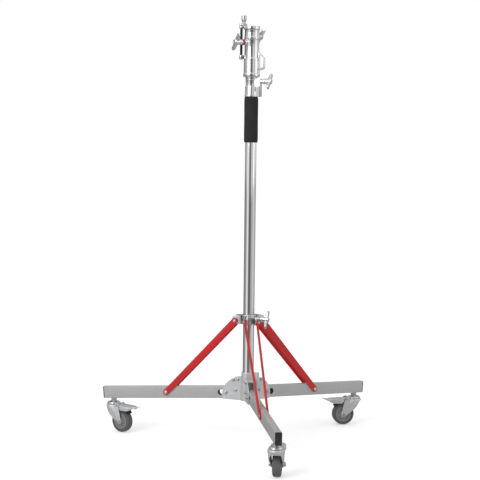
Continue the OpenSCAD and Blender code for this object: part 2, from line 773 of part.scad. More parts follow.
// Rubber block under the pedal with a tongue that follows the tyre
module brake_shoe(k) {
    r_in = wheel_d / 2 + shoe_gap;
    low_angle = 40;
    high_angle = 84;
    block_h = 7;
    color("black") {
        caster_frame(k) translate([trail, 11, axle_z]) rotate([90, 0, 0])
            rotate([0, 0, low_angle]) rotate_extrude(angle = high_angle - low_angle)
                translate([r_in, 0]) square([shoe_t, 22]);
        pedal_frame(k) translate([shoe_x, -8, pedal_lift - seat - block_h])
            cube([shoe_len, 16, block_h]);
    }
}

module riser_tube() {
    color("silver") on_column() translate([0, 0, column_top - riser_hidden])
        ring(riser_d / 2, riser_d / 2 - riser_wall,
            riser_hidden + socket_foot - column_top + socket_seat);
}

// Guide bush shrunk on the riser's lower end, running in the column
module riser_bush() {
    color("dimgray") on_column() translate([0, 0, column_top - riser_hidden])
        ring(column_d / 2 - column_wall - run_clear, riser_d / 2 + seat, 30);
}

// Round body of the socket casting, in radius and height above its foot
module socket_body() {
    r = socket_d / 2;
    soft_disc(r + 3.2, 12, 2.5);
    cylinder(r = r + 2, h = socket_step_h);
    translate([0, 0, socket_step_h]) cylinder(r1 = r + 2, r2 = r, h = 2);
    cylinder(r = r, h = socket_h - 2);
    translate([0, 0, socket_h - 41]) soft_disc(r + 1.2, 9.2, 1.5);
    translate([0, 0, socket_h - 12]) soft_disc(r + 2.4, 12, 2.5);
    translate([0, 0, -socket_collar_h]) cylinder(r = socket_collar_d / 2, h = socket_collar_h + 1);
}

// Cast loop on the side: X away from the column, Y up from the casting's foot
module side_loop_outline() {
    r = socket_d / 2;
    end = r + loop_out;
    bar = 4;
    difference() {
        polygon([[r - 2, loop_high], [end - 5, loop_high - 16], [end, loop_high - 20],
            [end, loop_low + 8], [end - 4, loop_low + 4], [r - 2, loop_low]]);
        polygon([[r + 3, loop_high - 10], [end - bar, loop_high - 18.5],
            [end - bar, loop_low + 10], [r + 3, loop_low + 7]]);
    }
}

module hinge_lug(z, h) {
    rotate([0, 0, arm_hinge_az]) translate([0, 0, z]) {
        translate([arm_hinge_r, 0, 0]) cylinder(r = hinge_lug_r, h = h);
        translate([0, -hinge_lug_r, 0]) cube([arm_hinge_r, 2 * hinge_lug_r, h]);
    }
}

module tee_hole(az, z) {
    rotate([0, 0, az]) translate([0, 0, z]) rotate([0, 90, 0])
        cylinder(r = tee_screw_d / 2 + run_clear, h = 2 * socket_d);
}

module socket_casting() {
    color("silver") on_column() difference() {
        union() {
            translate([0, 0, socket_foot]) socket_body();
            rotate([0, 0, side_loop_az]) translate([0, side_loop_w / 2, socket_foot])
                rotate([90, 0, 0]) linear_extrude(side_loop_w) side_loop_outline();
            hinge_lug(lug_low, lug_low_h);
            hinge_lug(lug_high, socket_rim - lug_high);
            rotate([0, 0, front_tee_az]) translate([0, 0, front_tee_z]) rotate([0, 90, 0])
                cylinder(r = 9, h = front_boss_r);
            rotate([0, 0, back_tee_az]) translate([0, 0, back_tee_z]) rotate([0, 90, 0])
                cylinder(r = tee_boss_d / 2, h = back_boss_r);
        }
        translate([0, 0, socket_rim - socket_depth])
            cylinder(r = socket_bore_d / 2, h = socket_depth + 1);
        translate([0, 0, socket_foot - socket_collar_h - 1])
            cylinder(r = riser_d / 2 + seat, h = socket_collar_h + 1 + socket_seat);
        tee_hole(front_tee_az, front_tee_z);
        tee_hole(back_tee_az, back_tee_z);
        rotate([0, 0, arm_hinge_az]) translate([arm_hinge_r, 0, lug_low - 1])
            cylinder(r = hinge_pin_r + run_clear, h = socket_rim - lug_low + 2);
    }
}

// Coloured plastic washer between the front handle and its boss
module socket_washer() {
    color("firebrick") on_column() rotate([0, 0, front_tee_az])
        translate([front_boss_r, 0, front_tee_z]) rotate([0, 90, 0]) difference() {
            soft_disc(washer_d / 2, washer_t, 1);
            translate([0, 0, -1]) cylinder(r = tee_screw_d / 2 + run_clear, h = washer_t + 2);
        }
}

module riser_tee() {
    seat_r = clamp_block_r + 2 + face_gap;
    on_column() rotate([0, 0, riser_tee_az]) translate([seat_r, 0, clamp_tee_z])
        tee(seat_r - riser_d / 2 - face_gap, riser_tee_turn);
}

module socket_tee_front() {
    seat_r = front_boss_r + washer_t + face_gap;
    on_column() rotate([0, 0, front_tee_az]) translate([seat_r, 0, front_tee_z])
        tee(seat_r - socket_bore_d / 2 - 1, front_tee_turn);
}

module socket_tee_back() {
    seat_r = back_boss_r + face_gap;
    on_column() rotate([0, 0, back_tee_az]) translate([seat_r, 0, back_tee_z])
        tee(seat_r - socket_bore_d / 2 - 1, back_tee_turn);
}

// Puts children on the swing arm's hinge axis, with X towards the stud
module on_hinge() {
    on_column() translate(concat(polar(arm_hinge_r, arm_hinge_az), [0]))
        rotate([0, 0, stud_az_from_hinge]) children();
}

// Flat arm that swings the stud over the socket: its length is the hinge's distance from the axis
module swing_arm() {
    color("silver") on_hinge() translate([0, 0, arm_z]) difference() {
        union() {
            cylinder(r = hinge_lug_r, h = arm_t);
            translate([0, -hinge_lug_r, 0]) cube([arm_hinge_r, 2 * hinge_lug_r, arm_t]);
            translate([arm_hinge_r, 0, 0]) cylinder(r = 10, h = arm_t);
        }
        translate([0, 0, -1]) cylinder(r = hinge_pin_r + seat, h = arm_t + 2);
        translate([arm_hinge_r, 0, -1]) cylinder(r = 5 + seat, h = arm_t + 2);
    }
}

// Stud with a conical neck, riveted through the arm
module baby_stud() {
    r = stud_d / 2;
    neck = 4.9;
    color("silver") on_hinge() translate([arm_hinge_r, 0, arm_z]) difference() {
        union() {
            cylinder(r = 5, h = arm_t);
            translate([0, 0, arm_t]) {
                cylinder(r = 9, h = 2);
                translate([0, 0, 2]) cylinder(r1 = 7.5, r2 = neck, h = 5);
                translate([0, 0, 7]) cylinder(r1 = neck, r2 = r, h = 7);
                translate([0, 0, 14]) cylinder(r = r, h = stud_h - 15);
                translate([0, 0, stud_h - 1]) cylinder(r1 = r, r2 = r - 1, h = 1);
            }
        }
        translate([0, 0, arm_t + stud_h - 14]) cylinder(r = 3, h = 15);
    }
}

module hinge_pin() {
    color("silver") on_hinge() {
        translate([0, 0, lug_low - 2.3]) cylinder(r = 5, h = 2);
        translate([0, 0, lug_low - 1]) cylinder(r = hinge_pin_r, h = arm_z + arm_t - lug_low + 1);
        translate([0, 0, arm_z + arm_t]) cylinder(r1 = 5, r2 = 4, h = 2);
    }
}

module hinge_sleeve() {
    low = lug_low + lug_low_h + face_gap;
    color("black") on_hinge() translate([0, 0, low])
        ring(hinge_sleeve_r, hinge_pin_r + seat, lug_high - face_gap - low);
}

column_tube();
column_plug();
hub_sleeve();
hub_cheek(FRONT);  // hub_cheek_right
hub_cheek(RIGHT);  // hub_cheek_back
hub_cheek(LEFT);  // hub_cheek_left
hub_bolts();
leg_pivot_bolts();
foam_grip();
riser_clamp();
clamp_bush();
brace_collar();
collar_bush();
ear_bushes();
collar_tee();
leg_tube(FRONT);  // leg_tube_front
leg_tube(RIGHT);  // leg_tube_right
leg_tube(LEFT);  // leg_tube_left
leg_cap(FRONT);  // leg_cap_front
leg_cap(RIGHT);  // leg_cap_right
leg_cap(LEFT);  // leg_cap_left
caster_stem(FRONT);  // caster_stem_front
caster_stem(RIGHT);  // caster_stem_right
caster_stem(LEFT);  // caster_stem_left
brace_pin(FRONT);  // brace_pin_front
brace_pin(RIGHT);  // brace_pin_right
brace_pin(LEFT);  // brace_pin_left
brace_bars(FRONT);  // brace_bars_front
brace_bars(RIGHT);  // brace_bars_right
brace_bars(LEFT);  // brace_bars_left
caster_fork(FRONT);  // caster_fork_front
caster_fork(RIGHT);  // caster_fork_right
caster_fork(LEFT);  // caster_fork_left
axle(FRONT);  // axle_front
axle(RIGHT);  // axle_right
axle(LEFT);  // axle_left
wheel_core(FRONT);  // wheel_core_front
wheel_core(RIGHT);  // wheel_core_right
wheel_core(LEFT);  // wheel_core_left
tyre(FRONT);  // tyre_front
tyre(RIGHT);  // tyre_right
tyre(LEFT);  // tyre_left
brake_pedal(FRONT);  // brake_pedal_front
brake_pedal(RIGHT);  // brake_pedal_right
brake_pedal(LEFT);  // brake_pedal_left
brake_shoe(FRONT);  // brake_shoe_front
brake_shoe(RIGHT);  // brake_shoe_right
brake_shoe(LEFT);  // brake_shoe_left
riser_tube();
riser_bush();
socket_casting();
socket_washer();
riser_tee();
socket_tee_front();
socket_tee_back();
swing_arm();
baby_stud();
hinge_pin();
hinge_sleeve();
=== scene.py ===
import json
import bmesh
import bpy
import numpy as np
from mathutils import Matrix, Vector

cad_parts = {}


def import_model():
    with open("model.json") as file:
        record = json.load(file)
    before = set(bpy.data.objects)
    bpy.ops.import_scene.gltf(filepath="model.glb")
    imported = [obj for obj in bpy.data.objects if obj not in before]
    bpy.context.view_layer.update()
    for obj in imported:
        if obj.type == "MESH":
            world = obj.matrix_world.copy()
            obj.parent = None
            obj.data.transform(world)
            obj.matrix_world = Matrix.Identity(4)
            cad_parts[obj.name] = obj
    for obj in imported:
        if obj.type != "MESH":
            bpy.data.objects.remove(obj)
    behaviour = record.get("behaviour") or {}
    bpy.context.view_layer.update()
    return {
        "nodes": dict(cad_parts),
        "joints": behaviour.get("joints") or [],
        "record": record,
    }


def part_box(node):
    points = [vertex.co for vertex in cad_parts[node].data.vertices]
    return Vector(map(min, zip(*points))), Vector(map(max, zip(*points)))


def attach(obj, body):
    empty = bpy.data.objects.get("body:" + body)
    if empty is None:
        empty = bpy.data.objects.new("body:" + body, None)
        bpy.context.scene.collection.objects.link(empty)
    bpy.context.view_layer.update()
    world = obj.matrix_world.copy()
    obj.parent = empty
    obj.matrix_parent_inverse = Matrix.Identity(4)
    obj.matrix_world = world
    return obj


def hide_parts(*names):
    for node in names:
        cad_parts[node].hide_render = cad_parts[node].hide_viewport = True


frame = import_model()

MM = 0.001
JOINTS = {j["name"]: j for j in frame["joints"]}
LEGS = ("front", "right", "left")


# Places in the frame, in millimetres

def mm_box(node):
    """Lowest and highest corner of a node, in millimetres."""
    low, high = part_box(node)
    return np.array(low) / MM, np.array(high) / MM


def heights(node):
    """Lowest and highest Z of a node, in millimetres."""
    low, high = mm_box(node)
    return low[2], high[2]


def unit(v):
    """A direction as a vector of length 1."""
    return np.asarray(v, float) / np.linalg.norm(v)


def square_to(way, x):
    """What is left of a direction when its share along x is taken away."""
    return way - np.dot(way, unit(x)) * unit(x)


def azimuth_of(way):
    """A direction in plan, in degrees from +X."""
    return np.degrees(np.arctan2(way[1], way[0]))


class Place:
    """A local frame: origin and three axes. point = origin + x * X + y * Y + z * Z. Z keeps its
    direction, X is squared to it, and Y completes them."""

    def __init__(self, origin, x, z):
        self.o = np.asarray(origin, float)
        z = unit(z)
        x = unit(square_to(np.asarray(x, float), z))
        self.r = np.stack([x, np.cross(z, x), z], axis=1)

    def put(self, points):
        """Local points as points of the stand."""
        return np.asarray(points, float) @ self.r.T + self.o

    def moved(self, x=0.0, z=0.0):
        """The same axes from another origin, a step along X and a step along Z away."""
        return Place(self.put([x, 0, z]), self.r[:, 0], self.r[:, 2])

    def tipped(self, degrees):
        """The same place turned about its Y axis, which tips X down."""
        a = np.radians(degrees)
        x = self.r[:, 0] * np.cos(a) - self.r[:, 2] * np.sin(a)
        z = self.r[:, 2] * np.cos(a) + self.r[:, 0] * np.sin(a)
        return Place(self.o, x, z)

    def lying(self):
        """The same place with its Z turned onto Y, for what is turned or cut across."""
        return Place(self.o, self.r[:, 0], self.r[:, 1])

    def flipped(self):
        """The same place with its Z turned round, for the far end of a bolt or pin."""
        return Place(self.o, self.r[:, 0], -self.r[:, 2])

    def on_edge(self, y=0.0):
        """A place for a plate that stands on edge: its outline in the old X and Z, at one Y."""
        return Place(self.put([0, y, 0]), self.r[:, 0], -self.r[:, 1])


def joint_at(name):
    """The point that a joint turns or slides about, in millimetres."""
    return np.array(JOINTS[name]["pos_m"]) / MM


TUBE_LOW, TUBE_HIGH = mm_box("column_tube")
AXIS = (TUBE_LOW[:2] + TUBE_HIGH[:2]) / 2
COLUMN_R = (TUBE_HIGH[0] - TUBE_LOW[0]) / 2
COLUMN_TOP = TUBE_HIGH[2]
UP = np.array([0.0, 0.0, 1.0])


def on_column(z=0.0, azimuth=0.0):
    """Frame on the column's axis with X towards an azimuth, in degrees from +X."""
    a = np.radians(azimuth)
    return Place([*AXIS, z], [np.cos(a), np.sin(a), 0], UP)


def on_screw(handle):
    """Frame on the column's axis at a clamp handle's height, with Z out along its screw."""
    out = unit(JOINTS[handle + "_turn"]["axis"])
    return Place([*AXIS, joint_at(handle + "_turn")[2]], np.cross(UP, out), out)


def leg_azimuth(leg):
    """Where a leg points in plan, from the column's axis through its pivot."""
    return azimuth_of(joint_at(f"leg_{leg}_fold")[:2] - AXIS)


def leg_place(leg):
    """X along the leg's centre line from its pivot, Y across it, Z up."""
    pivot, foot = joint_at(f"leg_{leg}_fold"), joint_at(f"brace_{leg}_fold")
    return Place(pivot, foot - pivot, square_to(UP, foot - pivot))


def caster_place(leg):
    """Z on the swivel's axis from the floor, X towards the axle."""
    swivel, axle = joint_at(f"caster_{leg}_swivel"), joint_at(f"wheel_{leg}_spin")
    return Place([*swivel[:2], 0], axle - swivel, UP)


# Shapes. Each returns its points in millimetres and its faces

def surface(points, close_u=False, close_v=False):
    """A grid points[u, v] becomes quads between neighbours, joined round in u or v if asked."""
    nu, nv = points.shape[:2]
    index = np.arange(nu * nv).reshape(nu, nv)
    if close_u:
        index = np.vstack([index, index[:1]])
    if close_v:
        index = np.hstack([index, index[:, :1]])
    quads = np.stack([index[:-1, :-1], index[1:, :-1], index[1:, 1:], index[:-1, 1:]], axis=-1)
    return points.reshape(-1, 3), quads.reshape(-1, 4).tolist()


def loft(rings):
    """Closed rings of as many points each, joined in turn, with a flat face over the first and last."""
    points, faces = surface(np.array(rings), close_v=True)
    n = len(rings[0])
    return points, faces + [list(range(n))[::-1], list(range(len(points) - n, len(points)))]


def at(place, shape):
    """A shape carried from its own axes to a place."""
    return place.put(shape[0]), shape[1]


def level(outline, z):
    """An outline in X and Y at one height."""
    return np.column_stack([outline, np.full(len(outline), z)])


def station(outline, x):
    """An outline in Y and Z at one distance along X."""
    return np.column_stack([np.full(len(outline), x), outline])


def rounded(points, radius, steps=4, closed=True):
    """A polygon with each corner replaced by a curve that leaves the sides radius before it.
    The curve is the quadratic blend (1-t)^2 A + 2t(1-t) corner + t^2 B."""
    p = np.asarray(points, float)
    before, after = np.roll(p, 1, axis=0), np.roll(p, -1, axis=0)
    radius = np.broadcast_to(np.asarray(radius, float), len(p))
    out = []
    t = np.linspace(0, 1, steps + 1)[:, None]
    for i, corner in enumerate(p):
        if radius[i] <= 0 or (not closed and i in (0, len(p) - 1)):
            out.append(corner[None])
            continue
        a, b = before[i] - corner, after[i] - corner
        la, lb = np.linalg.norm(a), np.linalg.norm(b)
        cut = min(radius[i], 0.49 * la, 0.49 * lb)
        a, b = corner + a / la * cut, corner + b / lb * cut
        out.append((1 - t) ** 2 * a + 2 * t * (1 - t) * corner + t ** 2 * b)
    return np.vstack(out)


def circle(radius, centre=(0, 0), count=48, start=0.0, end=360.0):
    """Points on an arc: centre + radius * (cos a, sin a)."""
    full = abs(end - start) >= 360
    a = np.radians(np.linspace(start, end, count, endpoint=not full))
    return np.stack([centre[0] + radius * np.cos(a), centre[1] + radius * np.sin(a)], axis=1)


def lathe(place, profile, segments=72, radius=0.0, closed=True):
    """A profile of (radius, height) turned about Z: (r cos a, r sin a, h).
    Its corners are rounded first by radius."""
    p = rounded(profile, radius, 3, closed)
    a = np.linspace(0, 2 * np.pi, segments, endpoint=False)[:, None]
    turned = np.broadcast_arrays(p[:, 0] * np.cos(a), p[:, 0] * np.sin(a), p[:, 1])
    return at(place, surface(np.stack(turned, axis=-1), close_u=True, close_v=closed))


def pipe(inner, outer, low, high):
    """The profile of a plain ring or tube."""
    return [(inner, low), (outer, low), (outer, high), (inner, high)]


def inset(outline, amount):
    """Each point of a closed outline moves inwards along the mean normal of its two sides."""
    x, y = outline.T
    area = np.sum(x * np.roll(y, -1) - np.roll(x, -1) * y)
    side = np.roll(outline, -1, axis=0) - outline
    normal = np.stack([-side[:, 1], side[:, 0]], axis=1)
    normal /= np.maximum(np.linalg.norm(side, axis=1, keepdims=True), 1e-9)
    mean = normal + np.roll(normal, 1, axis=0)
    mean /= np.maximum((mean ** 2).sum(axis=1, keepdims=True) / 2, 0.2)
    return outline + np.sign(area) * amount * mean


def slab(place, outline, thickness, edge=0.5, steps=3, z=0.0):
    """A flat outline in X and Y with thickness about Z and rounded edges: rings of the outline,
    inset by edge * (1 - sin t) and raised by edge * (1 - cos t), between two flat faces."""
    t = np.linspace(0, np.pi / 2, steps + 1)
    drop, rise = edge * (1 - np.sin(t)), edge * (1 - np.cos(t)) - thickness / 2
    turn = [*zip(drop, rise), *zip(drop[::-1], -rise[::-1])]
    return at(place, loft([level(inset(outline, d), h + z) for d, h in turn]))


def rod(place, radius, low, high, edge=0.5, segments=40):
    """A solid cylinder along Z with rounded ends."""
    profile = [(0, low), (radius, low), (radius, high), (0, high)]
    return lathe(place, profile, segments, [0, edge, edge, 0], False)


def nut(place, across, height, z):
    """A hexagon with rounded edges and a washer face, seated at z."""
    hexagon = rounded(circle(across / np.sqrt(3), count=6), 0.8, 2)
    return join(slab(place, hexagon, height, 0.7, z=z + height / 2),
                rod(place, across * 0.46, z + 0.3, z + height + 0.4, 0.3, 32))


def hollow_slab(place, outer, inner, thickness, edge):
    """A flat ring between two outlines with as many points each, its four edges cut at 45 degrees."""
    half = thickness / 2
    turn = [(edge, -half), (0, -half + edge), (0, half - edge), (edge, half)]
    rings = [level(inset(outer, d), h) for d, h in turn]
    rings += [level(inset(inner, -d), h) for d, h in turn[::-1]]
    return at(place, surface(np.array(rings), close_u=True, close_v=True))


def join(*shapes):
    """Several shapes as one set of points and faces."""
    points, faces, base = [], [], 0
    for p, f in shapes:
        points.append(p)
        faces += [[i + base for i in face] for face in f]
        base += len(p)
    return np.vstack(points), faces


def piece(name, body, slot, shape, nodes=(), sharp=32.0, solid=0.0, bevel=0.0):
    """Makes the object in metres, merges its poles, turns its faces outwards and hands it to its body,
    where it stands for the nodes. A sheet gets a wall of solid millimetres, and a piece with a bevel
    has it on its corners above 40 degrees."""
    points, faces = shape
    mesh = bpy.data.meshes.new(name)
    mesh.from_pydata((points * MM).tolist(), [], faces)
    work = bmesh.new()
    work.from_mesh(mesh)
    bmesh.ops.remove_doubles(work, verts=work.verts, dist=1e-6)
    bmesh.ops.dissolve_degenerate(work, edges=work.edges, dist=1e-7)
    bmesh.ops.recalc_face_normals(work, faces=work.faces)
    work.to_mesh(mesh)
    work.free()
    mesh.shade_smooth()
    mesh.set_sharp_from_angle(angle=np.radians(sharp))
    mesh.materials.append(MATERIALS[slot])
    thing = in_scene(name, mesh)
    if solid:
        wall = thing.modifiers.new("wall", "SOLIDIFY")
        wall.thickness = solid * MM
        wall.offset = -1
        wall.use_even_offset = True
    if bevel:
        soft = thing.modifiers.new("edges", "BEVEL")
        soft.width = bevel * MM
        soft.segments = 2
        soft.limit_method = "ANGLE"
        soft.angle_limit = np.radians(40)
    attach(thing, body)
    if nodes:
        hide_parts(*nodes)
    return thing


def in_scene(name, data):
    """An object for a mesh, lamp or camera, linked to the scene."""
    thing = bpy.data.objects.new(name, data)
    bpy.context.scene.collection.objects.link(thing)
    return thing


# Materials

def group(name, output, **inputs):
    """An empty shader node group with number sockets: the group, its net, its inputs, its one output."""
    tree = bpy.data.node_groups.new(name, "ShaderNodeTree")
    number = "NodeSocketFloat"
    for label, default in inputs.items():
        socket = tree.interface.new_socket(label.replace("_", " "), in_out="INPUT", socket_type=number)
        socket.default_value = default
    tree.interface.new_socket(output, in_out="OUTPUT", socket_type=number)
    ins, outs = tree.nodes.new("NodeGroupInput"), tree.nodes.new("NodeGroupOutput")
    return tree, Net(tree), ins.outputs, outs.inputs[output]


class Net:
    """Short ways to add and link nodes in one tree."""

    def __init__(self, tree):
        self.tree = tree

    def node(self, kind, **values):
        """A new shader node with its settings."""
        made = self.tree.nodes.new("ShaderNode" + kind)
        for key, value in values.items():
            setattr(made, key, value)
        return made

    def feed(self, source, target):
        """Links an output to an input, or sets the input's own value. A colour gets its alpha."""
        if hasattr(source, "links"):
            self.tree.links.new(source, target)
        else:
            target.default_value = (*source, 1) if target.type == "RGBA" else source

    def math(self, how, a, b=0.0, clamp=False):
        """One operation on one or two numbers."""
        made = self.node("Math", operation=how, use_clamp=clamp)
        self.feed(a, made.inputs[0])
        self.feed(b, made.inputs[1])
        return made.outputs[0]

    def times(self, a, b, clamp=False):
        """a * b, kept between 0 and 1 if asked."""
        return self.math("MULTIPLY", a, b, clamp)

    def plus(self, start, *parts):
        """start + the sum of mask * share."""
        for mask, share in parts:
            start = self.math("ADD", start, self.times(mask, share))
        return start

    def spread(self, value, low, high, to_low=0.0, to_high=1.0):
        """The range from low to high becomes to_low to to_high, and past its ends the value is held."""
        made = self.node("MapRange", clamp=True)
        for key, v in (("Value", value), ("From Min", low), ("From Max", high),
                       ("To Min", to_low), ("To Max", to_high)):
            self.feed(v, made.inputs[key])
        return made.outputs[0]

    def mix(self, factor, a, b, share=1.0):
        """Colour a turned towards colour b by factor * share."""
        made = self.node("Mix", data_type="RGBA", blend_type="MIX")
        self.feed(factor if share == 1.0 else self.times(factor, share), made.inputs["Factor"])
        self.feed(a, made.inputs["A"])
        self.feed(b, made.inputs["B"])
        return made.outputs["Result"]

    def xyz(self, vector):
        """A vector's three parts."""
        made = self.node("SeparateXYZ")
        self.feed(vector, made.inputs[0])
        return made.outputs

    def noise(self, scale, detail=3.0, rough=0.5, stretch=(1, 1, 1)):
        """Noise on Object coordinates, its scale in cells per metre, stretched along the axes."""
        sized = self.node("Mapping")
        sized.inputs["Scale"].default_value = stretch
        self.feed(self.node("TexCoord").outputs["Object"], sized.inputs["Vector"])
        made = self.node("TexNoise")
        self.feed(sized.outputs["Vector"], made.inputs["Vector"])
        self.feed(scale, made.inputs["Scale"])
        made.inputs["Detail"].default_value = detail
        made.inputs["Roughness"].default_value = rough
        return made.outputs["Fac"]

    def cells(self, scale):
        """Round cells on Object coordinates, its scale in cells per metre."""
        made = self.node("TexVoronoi")
        self.feed(self.node("TexCoord").outputs["Object"], made.inputs["Vector"])
        self.feed(scale, made.inputs["Scale"])
        return made.outputs


def make_smudge():
    """Handling marks: two sizes of noise multiplied, so that patches hold finer streaks."""
    tree, net, ins, out = group("smudge", "Mask", Patch_Scale=9.0, Fine_Scale=160.0, Amount=1.0)
    patch = net.spread(net.noise(ins["Patch Scale"], 4, 0.6), 0.45, 0.72)
    fine = net.spread(net.noise(ins["Fine Scale"], 3, 0.6), 0.3, 0.7)
    net.feed(net.times(net.times(patch, fine), ins["Amount"], True), out)
    return tree


def make_scratches():
    """Fine scratches: noise drawn out along one axis, kept only near its middle value."""
    tree, net, ins, out = group("scratches", "Mask", Scale=60.0, Amount=1.0)
    masks = []
    for stretch in ((14, 14, 0.7), (0.8, 16, 9)):
        line = net.math("ABSOLUTE", net.math("SUBTRACT", net.noise(ins["Scale"], 2, 0.5, stretch), 0.5))
        masks.append(net.spread(line, 0.0, 0.012, 1.0, 0.0))
    where = net.spread(net.noise(12.0, 3, 0.6), 0.52, 0.66)
    both = net.times(net.math("MAXIMUM", *masks), where)
    net.feed(net.times(both, ins["Amount"], True), out)
    return tree


def make_dust():
    """Dust on faces that look up: the normal's Z, broken by noise."""
    tree, net, ins, out = group("dust", "Mask", Amount=0.3, Scale=90.0)
    up = net.spread(net.xyz(net.node("NewGeometry").outputs["Normal"])["Z"], 0.55, 1.0)
    mask = net.times(up, net.spread(net.noise(ins["Scale"], 5, 0.7), 0.35, 0.8))
    net.feed(net.times(mask, ins["Amount"], True), out)
    return tree


def make_peel():
    """The fine dimples of powder coat or a casting: two scales of noise as a height."""
    tree, net, ins, out = group("peel", "Height", Scale=900.0, Wave=120.0)
    wave = net.noise(ins["Wave"], 2, 0.5)
    net.feed(net.plus(wave, (net.noise(ins["Scale"], 2, 0.5), 0.6)), out)
    return tree


GROUPS = {"smudge": make_smudge(), "scratches": make_scratches(), "dust": make_dust(), "peel": make_peel()}


class Finish(Net):
    """A new material: the net round its Principled BSDF."""

    def __init__(self, name, colour, metallic, specular=0.5, coat=0.0):
        self.made = bpy.data.materials.new(name)
        self.made.use_nodes = True
        self.made.diffuse_color = (*colour, 1)
        super().__init__(self.made.node_tree)
        self.shader = self.tree.nodes["Principled BSDF"]
        for key, value in (("Base Color", colour), ("Metallic", metallic), ("Specular IOR Level", specular),
                           ("Coat Weight", coat)):
            self.feed(value, self.shader.inputs[key])

    def effect(self, name, **values):
        """One placed copy of a shared effect with its own values."""
        made = self.node("Group")
        made.node_tree = GROUPS[name]
        for key, value in values.items():
            made.inputs[key.replace("_", " ")].default_value = value
        return made.outputs[0]

    def rim_shade(self, amount):
        """Painted shade: how far a plated casting's colour darkens where its surface turns away from the eye.
        """
        turn = self.node("LayerWeight")
        turn.inputs["Blend"].default_value = 0.5
        return self.spread(turn.outputs["Facing"], 0.5, 0.98, 0.0, amount)

    def done(self, colour, rough, height, depth, strength):
        """Links the colour and roughness, and the height as a bump of a depth in millimetres."""
        bump = self.node("Bump")
        bump.inputs["Strength"].default_value = strength
        bump.inputs["Distance"].default_value = depth * MM
        self.feed(height, bump.inputs["Height"])
        self.feed(bump.outputs["Normal"], self.shader.inputs["Normal"])
        self.feed(colour, self.shader.inputs["Base Color"])
        self.feed(rough, self.shader.inputs["Roughness"])
        return self.made


def chrome_tube(name):
    """Bright drawn tube: long faint die lines, smudges that dull it, a few scratches."""
    clean, smeared = (0.80, 0.80, 0.81), (0.66, 0.66, 0.67)
    net = Finish(name, clean, 1.0)
    lines = net.noise(130.0, 2, 0.5, (6, 6, 0.03))
    smudge = net.effect("smudge", Patch_Scale=7.0, Fine_Scale=120.0, Amount=0.8)
    scratch = net.effect("scratches", Scale=40.0, Amount=0.5)
    shade = net.mix(smudge, clean, smeared, 0.25)
    rough = net.plus(net.spread(lines, 0.3, 0.7, 0.05, 0.10), (smudge, 0.10), (scratch, 0.15))
    return net.done(shade, rough, lines, 0.01, 0.25)


def cast_chrome(name):
    """Plated casting: slow waves in the surface, pits, a duller skin than the tubes."""
    clean, smeared = (0.78, 0.78, 0.79), (0.62, 0.62, 0.63)
    net = Finish(name, clean, 1.0)
    peel = net.effect("peel", Scale=700.0, Wave=140.0)
    smudge = net.effect("smudge", Patch_Scale=30.0, Fine_Scale=300.0, Amount=1.0)
    dust = net.effect("dust", Amount=0.25, Scale=200.0)
    shade = net.mix(smudge, clean, smeared)
    # Painted shade: the colour darkens towards the rims, where the surface turns away from the eye.
    shade = net.mix(net.rim_shade(0.6), shade, (0.30, 0.30, 0.305))
    shade = net.mix(dust, shade, (0.55, 0.54, 0.52))
    rough = net.plus(net.spread(peel, 0.6, 1.1, 0.06, 0.10), (smudge, 0.10), (dust, 0.3))
    return net.done(shade, rough, peel, 0.05, 0.35)


def cast_satin(name):
    """Nickel-plated casting as it came from the barrel: soft dimples, a satin skin, dark handling marks."""
    net = Finish(name, (0.66, 0.66, 0.665), 1.0)
    peel = net.effect("peel", Scale=800.0, Wave=160.0)
    smudge = net.effect("smudge", Patch_Scale=34.0, Fine_Scale=320.0, Amount=1.0)
    dust = net.effect("dust", Amount=0.25, Scale=200.0)
    shade = net.mix(smudge, (0.68, 0.68, 0.685), (0.46, 0.46, 0.465))
    # Painted shade: the colour darkens towards the rims, where the surface turns away from the eye.
    shade = net.mix(net.rim_shade(0.5), shade, (0.28, 0.28, 0.285))
    shade = net.mix(dust, shade, (0.50, 0.49, 0.47))
    rough = net.plus(net.spread(peel, 0.6, 1.1, 0.20, 0.28), (smudge, 0.15), (dust, 0.3))
    return net.done(shade, rough, peel, 0.05, 0.4)


def zinc_plate(name):
    """Pressed steel with bright zinc: faint crystals, rolling lines, soft stains."""
    net = Finish(name, (0.60, 0.605, 0.61), 0.5)
    patch = net.node("SeparateColor")
    net.feed(net.cells(260.0)["Color"], patch.inputs[0])
    stain = net.effect("smudge", Patch_Scale=26.0, Fine_Scale=220.0, Amount=1.0)
    scratch = net.effect("scratches", Scale=70.0, Amount=0.7)
    crystal = net.spread(patch.outputs[0], 0, 1, 0, 0.45)
    shade = net.mix(crystal, (0.64, 0.645, 0.65), (0.53, 0.54, 0.555))
    shade = net.mix(stain, shade, (0.46, 0.46, 0.455), 0.6)
    rough = net.plus(net.spread(patch.outputs[0], 0, 1, 0.40, 0.48), (stain, 0.15), (scratch, -0.1))
    return net.done(shade, rough, net.noise(500.0, 3, 0.5, (1, 1, 0.2)), 0.03, 0.3)


def zinc_fastener(name):
    """Turned and plated small parts: fine rings of noise, darker in patches."""
    net = Finish(name, (0.58, 0.585, 0.59), 1.0)
    turned = net.noise(900.0, 2, 0.5, (1, 1, 3))
    stain = net.effect("smudge", Patch_Scale=90.0, Fine_Scale=500.0, Amount=1.0)
    shade = net.mix(stain, (0.60, 0.605, 0.61), (0.38, 0.38, 0.37))
    rough = net.plus(net.spread(turned, 0.3, 0.7, 0.22, 0.34), (stain, 0.2))
    return net.done(shade, rough, turned, 0.03, 0.4)


